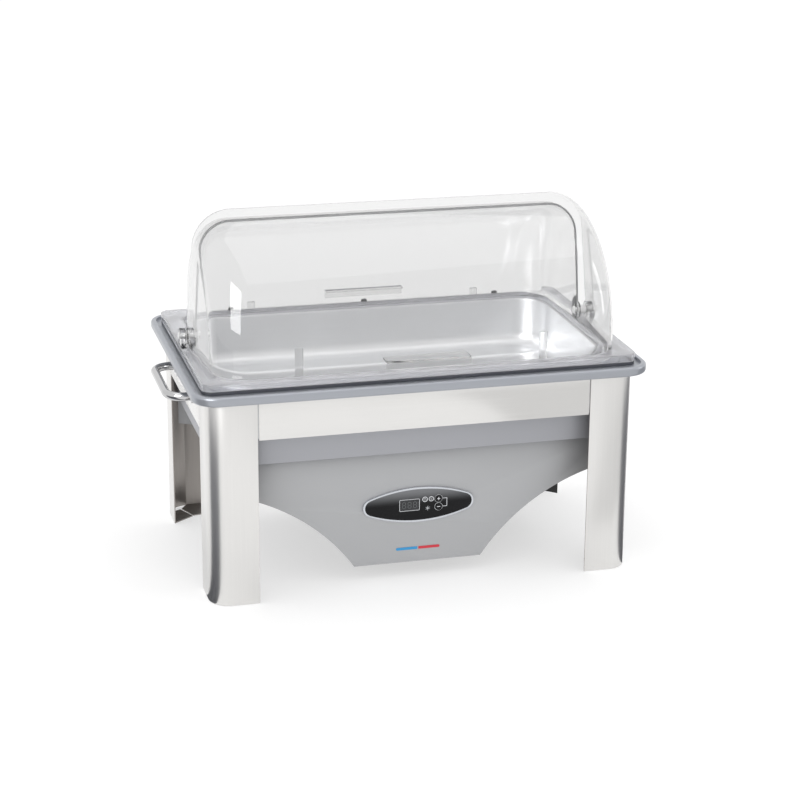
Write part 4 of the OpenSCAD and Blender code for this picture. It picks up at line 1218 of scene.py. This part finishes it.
class CHAFER_OT_hoods(ChaferOperator):
    """The two clear halves that roll over one another, with their ears and finger grips"""
    bl_idname = "chafer.hoods"
    bl_label = "Roll top halves"

    def execute(self, context):
        props = context.scene.chafer_hood
        for side, sign, corner, draft in (("front", -1, props.front_round, props.front_draft),
                                          ("rear", 1, props.rear_round, props.rear_draft)):
            node = side + "_hood"
            low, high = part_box(node)
            half, radius = high.x, high.z - PIVOT.z
            shell = hood_shell(node + "_shell", half, radius, corner, draft, props.wall, low.z,
                               props.arc_steps, sign)
            rounded(shell, 0.0006, 50.0)
            smooth(shell, 40.0)
            hand_over(shell, node, "clear", node)
            # Painted shade: the end faces on the arch line get the grey edge finish for the line they
            # throw by refraction.
            shell.data.materials.append(FINISHES["clear_edge"])
            for face in shell.data.polygons:
                if -sign * face.normal.y > 0.9 and abs(face.center.y) < props.wall:
                    face.material_index = 1
            self.ears(node, half, props.wall)
            refine(side + "_grip", "clear_grip", 0.0006)
        return {"FINISHED"}

    def ears(self, node, half, wall):
        """Bored discs round the pivot pins, on the outside of the end walls."""
        radius, bore = 0.011, 0.00305
        discs = []
        for s in (-1, 1):
            loops = []
            for r, x in ((bore, half - wall), (radius, half - wall), (radius, half - 0.0006),
                         (radius - 0.0006, half), (bore, half)):
                loops.append([Vector((s * x, r * cos(2 * pi * i / 40),
                                      PIVOT.z + r * sin(2 * pi * i / 40))) for i in range(40)])
            discs.append(loft("ear", loops, closed=True))
        ears = joined(node + "_ears", discs)
        smooth(ears)
        hand_over(ears, node, "clear")


# ---- Stage -------------------------------------------------------------------------------------

def area_light(name, place, target, size, power):
    light = bpy.data.lights.new(name, "AREA")
    light.shape = "RECTANGLE"
    light.size, light.size_y = size
    light.energy = power
    obj = bpy.data.objects.new(name, light)
    bpy.context.scene.collection.objects.link(obj)
    obj.location = place
    obj.rotation_euler = (Vector(target) - Vector(place)).to_track_quat("-Z", "Y").to_euler()
    return obj


def card(name, corners, finish, mirrored_only=False):
    """Flat card made of a fine grid between four corners."""
    steps = 6
    verts, faces = [], []
    a, b, c, d = [Vector(p) for p in corners]
    for j in range(steps + 1):
        for i in range(steps + 1):
            u, v = i / steps, j / steps
            verts.append(a.lerp(b, u).lerp(d.lerp(c, u), v))
    for j in range(steps):
        for i in range(steps):
            k = j * (steps + 1) + i
            faces.append((k, k + 1, k + steps + 2, k + steps + 1))
    obj = mesh_object(name, verts, faces)
    obj.data.materials.append(FINISHES[finish])
    if mirrored_only:
        obj.visible_camera = obj.visible_diffuse = False
        obj.visible_transmission = obj.visible_shadow = False


class CHAFER_OT_stage(ChaferOperator):
    """White studio: lit floor, cards that only reflections show, soft lights and the camera"""
    bl_idname = "chafer.stage"
    bl_label = "Stage"

    def execute(self, context):
        scene = context.scene
        props = scene.chafer_stage
        build_finishes(scene)
        scene.view_settings.view_transform = "Standard"
        world = bpy.data.worlds.new("Studio")
        world.use_nodes = True
        sky = world.node_tree.nodes["Background"]
        sky.inputs["Color"].default_value = (1.0, 1.0, 1.0, 1.0)
        sky.inputs["Strength"].default_value = 1.0
        scene.world = world
        card("floor", ((-6, -6, 0), (6, -6, 0), (6, 6, 0), (-6, 6, 0)), "floor")
        legs_low, legs_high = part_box("leg_front_left")[0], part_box("leg_rear_right")[1]
        lift, under, far, before, front_x, slant = 0.0015, 0.02, 4.5, 0.1, 0.22, 0.27
        card("left_card", ((-far, -far * 0.75, lift), (legs_low.x + under, legs_low.y + under, lift),
                           (legs_low.x, legs_low.y + under * 2, lift), (-far, far * 0.3, lift)),
             "card", True)
        card("right_card", ((legs_high.x - under, legs_low.y + under, lift), (far, -far * 0.42, lift),
                            (far, far * 0.62, lift), (legs_high.x, legs_low.y + under * 2, lift)),
             "card", True)
        near_y, low_lift = legs_low.y - before, lift / 2
        card("front_card", ((front_x, near_y, low_lift), (front_x + far * slant, -far, low_lift),
                            (far, -far, low_lift), (far, near_y, low_lift)),
             "pale_card", True)
        window = area_light("window", (-1.52, -1.42, 1.50), (-0.25, -0.1, 0.38), (1.15, 1.6), 36.0)
        strip = area_light("strip", (2.15, -0.41, 0.92), (0.25, -0.1, 0.38), (0.3, 1.3), 3.5)
        window.visible_diffuse = strip.visible_diffuse = False
        area_light("overhead", (0.2, 0.1, 2.2), (0.0, 0.0, 0.2), (2.4, 1.8), 9.0)
        scene.cycles.max_bounces = scene.cycles.transmission_bounces = 20
        scene.cycles.transparent_max_bounces = 20
        self.camera(scene, props)
        return {"FINISHED"}

    def camera(self, scene, props):
        a, e, roll = props.azimuth, props.elevation, props.roll
        back = Vector((sin(a) * cos(e), -cos(a) * cos(e), sin(e)))
        right = Vector((cos(a), sin(a), 0.0))
        up = back.cross(right)
        x_axis = right * cos(roll) + up * sin(roll)
        y_axis = -right * sin(roll) + up * cos(roll)
        data = bpy.data.cameras.new("camera")
        data.lens, data.sensor_width = props.lens, 36.0
        data.clip_end = 50.0
        obj = bpy.data.objects.new("camera", data)
        scene.collection.objects.link(obj)
        place = Vector(props.aim) + back * props.distance
        obj.matrix_world = Matrix((
            (x_axis.x, y_axis.x, back.x, place.x), (x_axis.y, y_axis.y, back.y, place.y),
            (x_axis.z, y_axis.z, back.z, place.z), (0, 0, 0, 1)))
        scene.camera = obj


class CHAFER_PT_sidebar(bpy.types.Panel):
    """Lists the chafer's pieces and their settings"""
    bl_idname = "CHAFER_PT_sidebar"
    bl_label = "Roll Top Chafer"
    bl_space_type = "VIEW_3D"
    bl_region_type = "UI"
    bl_category = "Chafer"

    def draw(self, context):
        layout = self.layout
        for operator in OPERATORS:
            layout.operator(operator.bl_idname)
        for name, group_class in SETTINGS:
            box = layout.box()
            box.label(text=name.removeprefix("chafer_").capitalize())
            for prop in group_class.__annotations__:
                box.prop(getattr(context.scene, name), prop)


SETTINGS = [("chafer_stage", ChaferStage), ("chafer_metal", ChaferMetal),
            ("chafer_plastic", ChaferPlastic), ("chafer_hood", ChaferHood),
            ("chafer_handle", ChaferHandle), ("chafer_pan", ChaferPan)]
OPERATORS = [CHAFER_OT_stage, CHAFER_OT_stand, CHAFER_OT_rim, CHAFER_OT_well, CHAFER_OT_panels,
             CHAFER_OT_mains, CHAFER_OT_controls, CHAFER_OT_handles, CHAFER_OT_cooling,
             CHAFER_OT_pan, CHAFER_OT_tray, CHAFER_OT_hoods]


def register():
    for name, group_class in SETTINGS:
        bpy.utils.register_class(group_class)
        setattr(bpy.types.Scene, name, PointerProperty(type=group_class))
    for cls in OPERATORS + [CHAFER_PT_sidebar]:
        bpy.utils.register_class(cls)


def unregister():
    for cls in reversed(OPERATORS + [CHAFER_PT_sidebar]):
        bpy.utils.unregister_class(cls)
    for name, group_class in reversed(SETTINGS):
        delattr(bpy.types.Scene, name)
        bpy.utils.unregister_class(group_class)


def main():
    register()
    for operator in OPERATORS:
        family, action = operator.bl_idname.split(".")
        getattr(getattr(bpy.ops, family), action)()


if __name__ == "__main__":
    main()
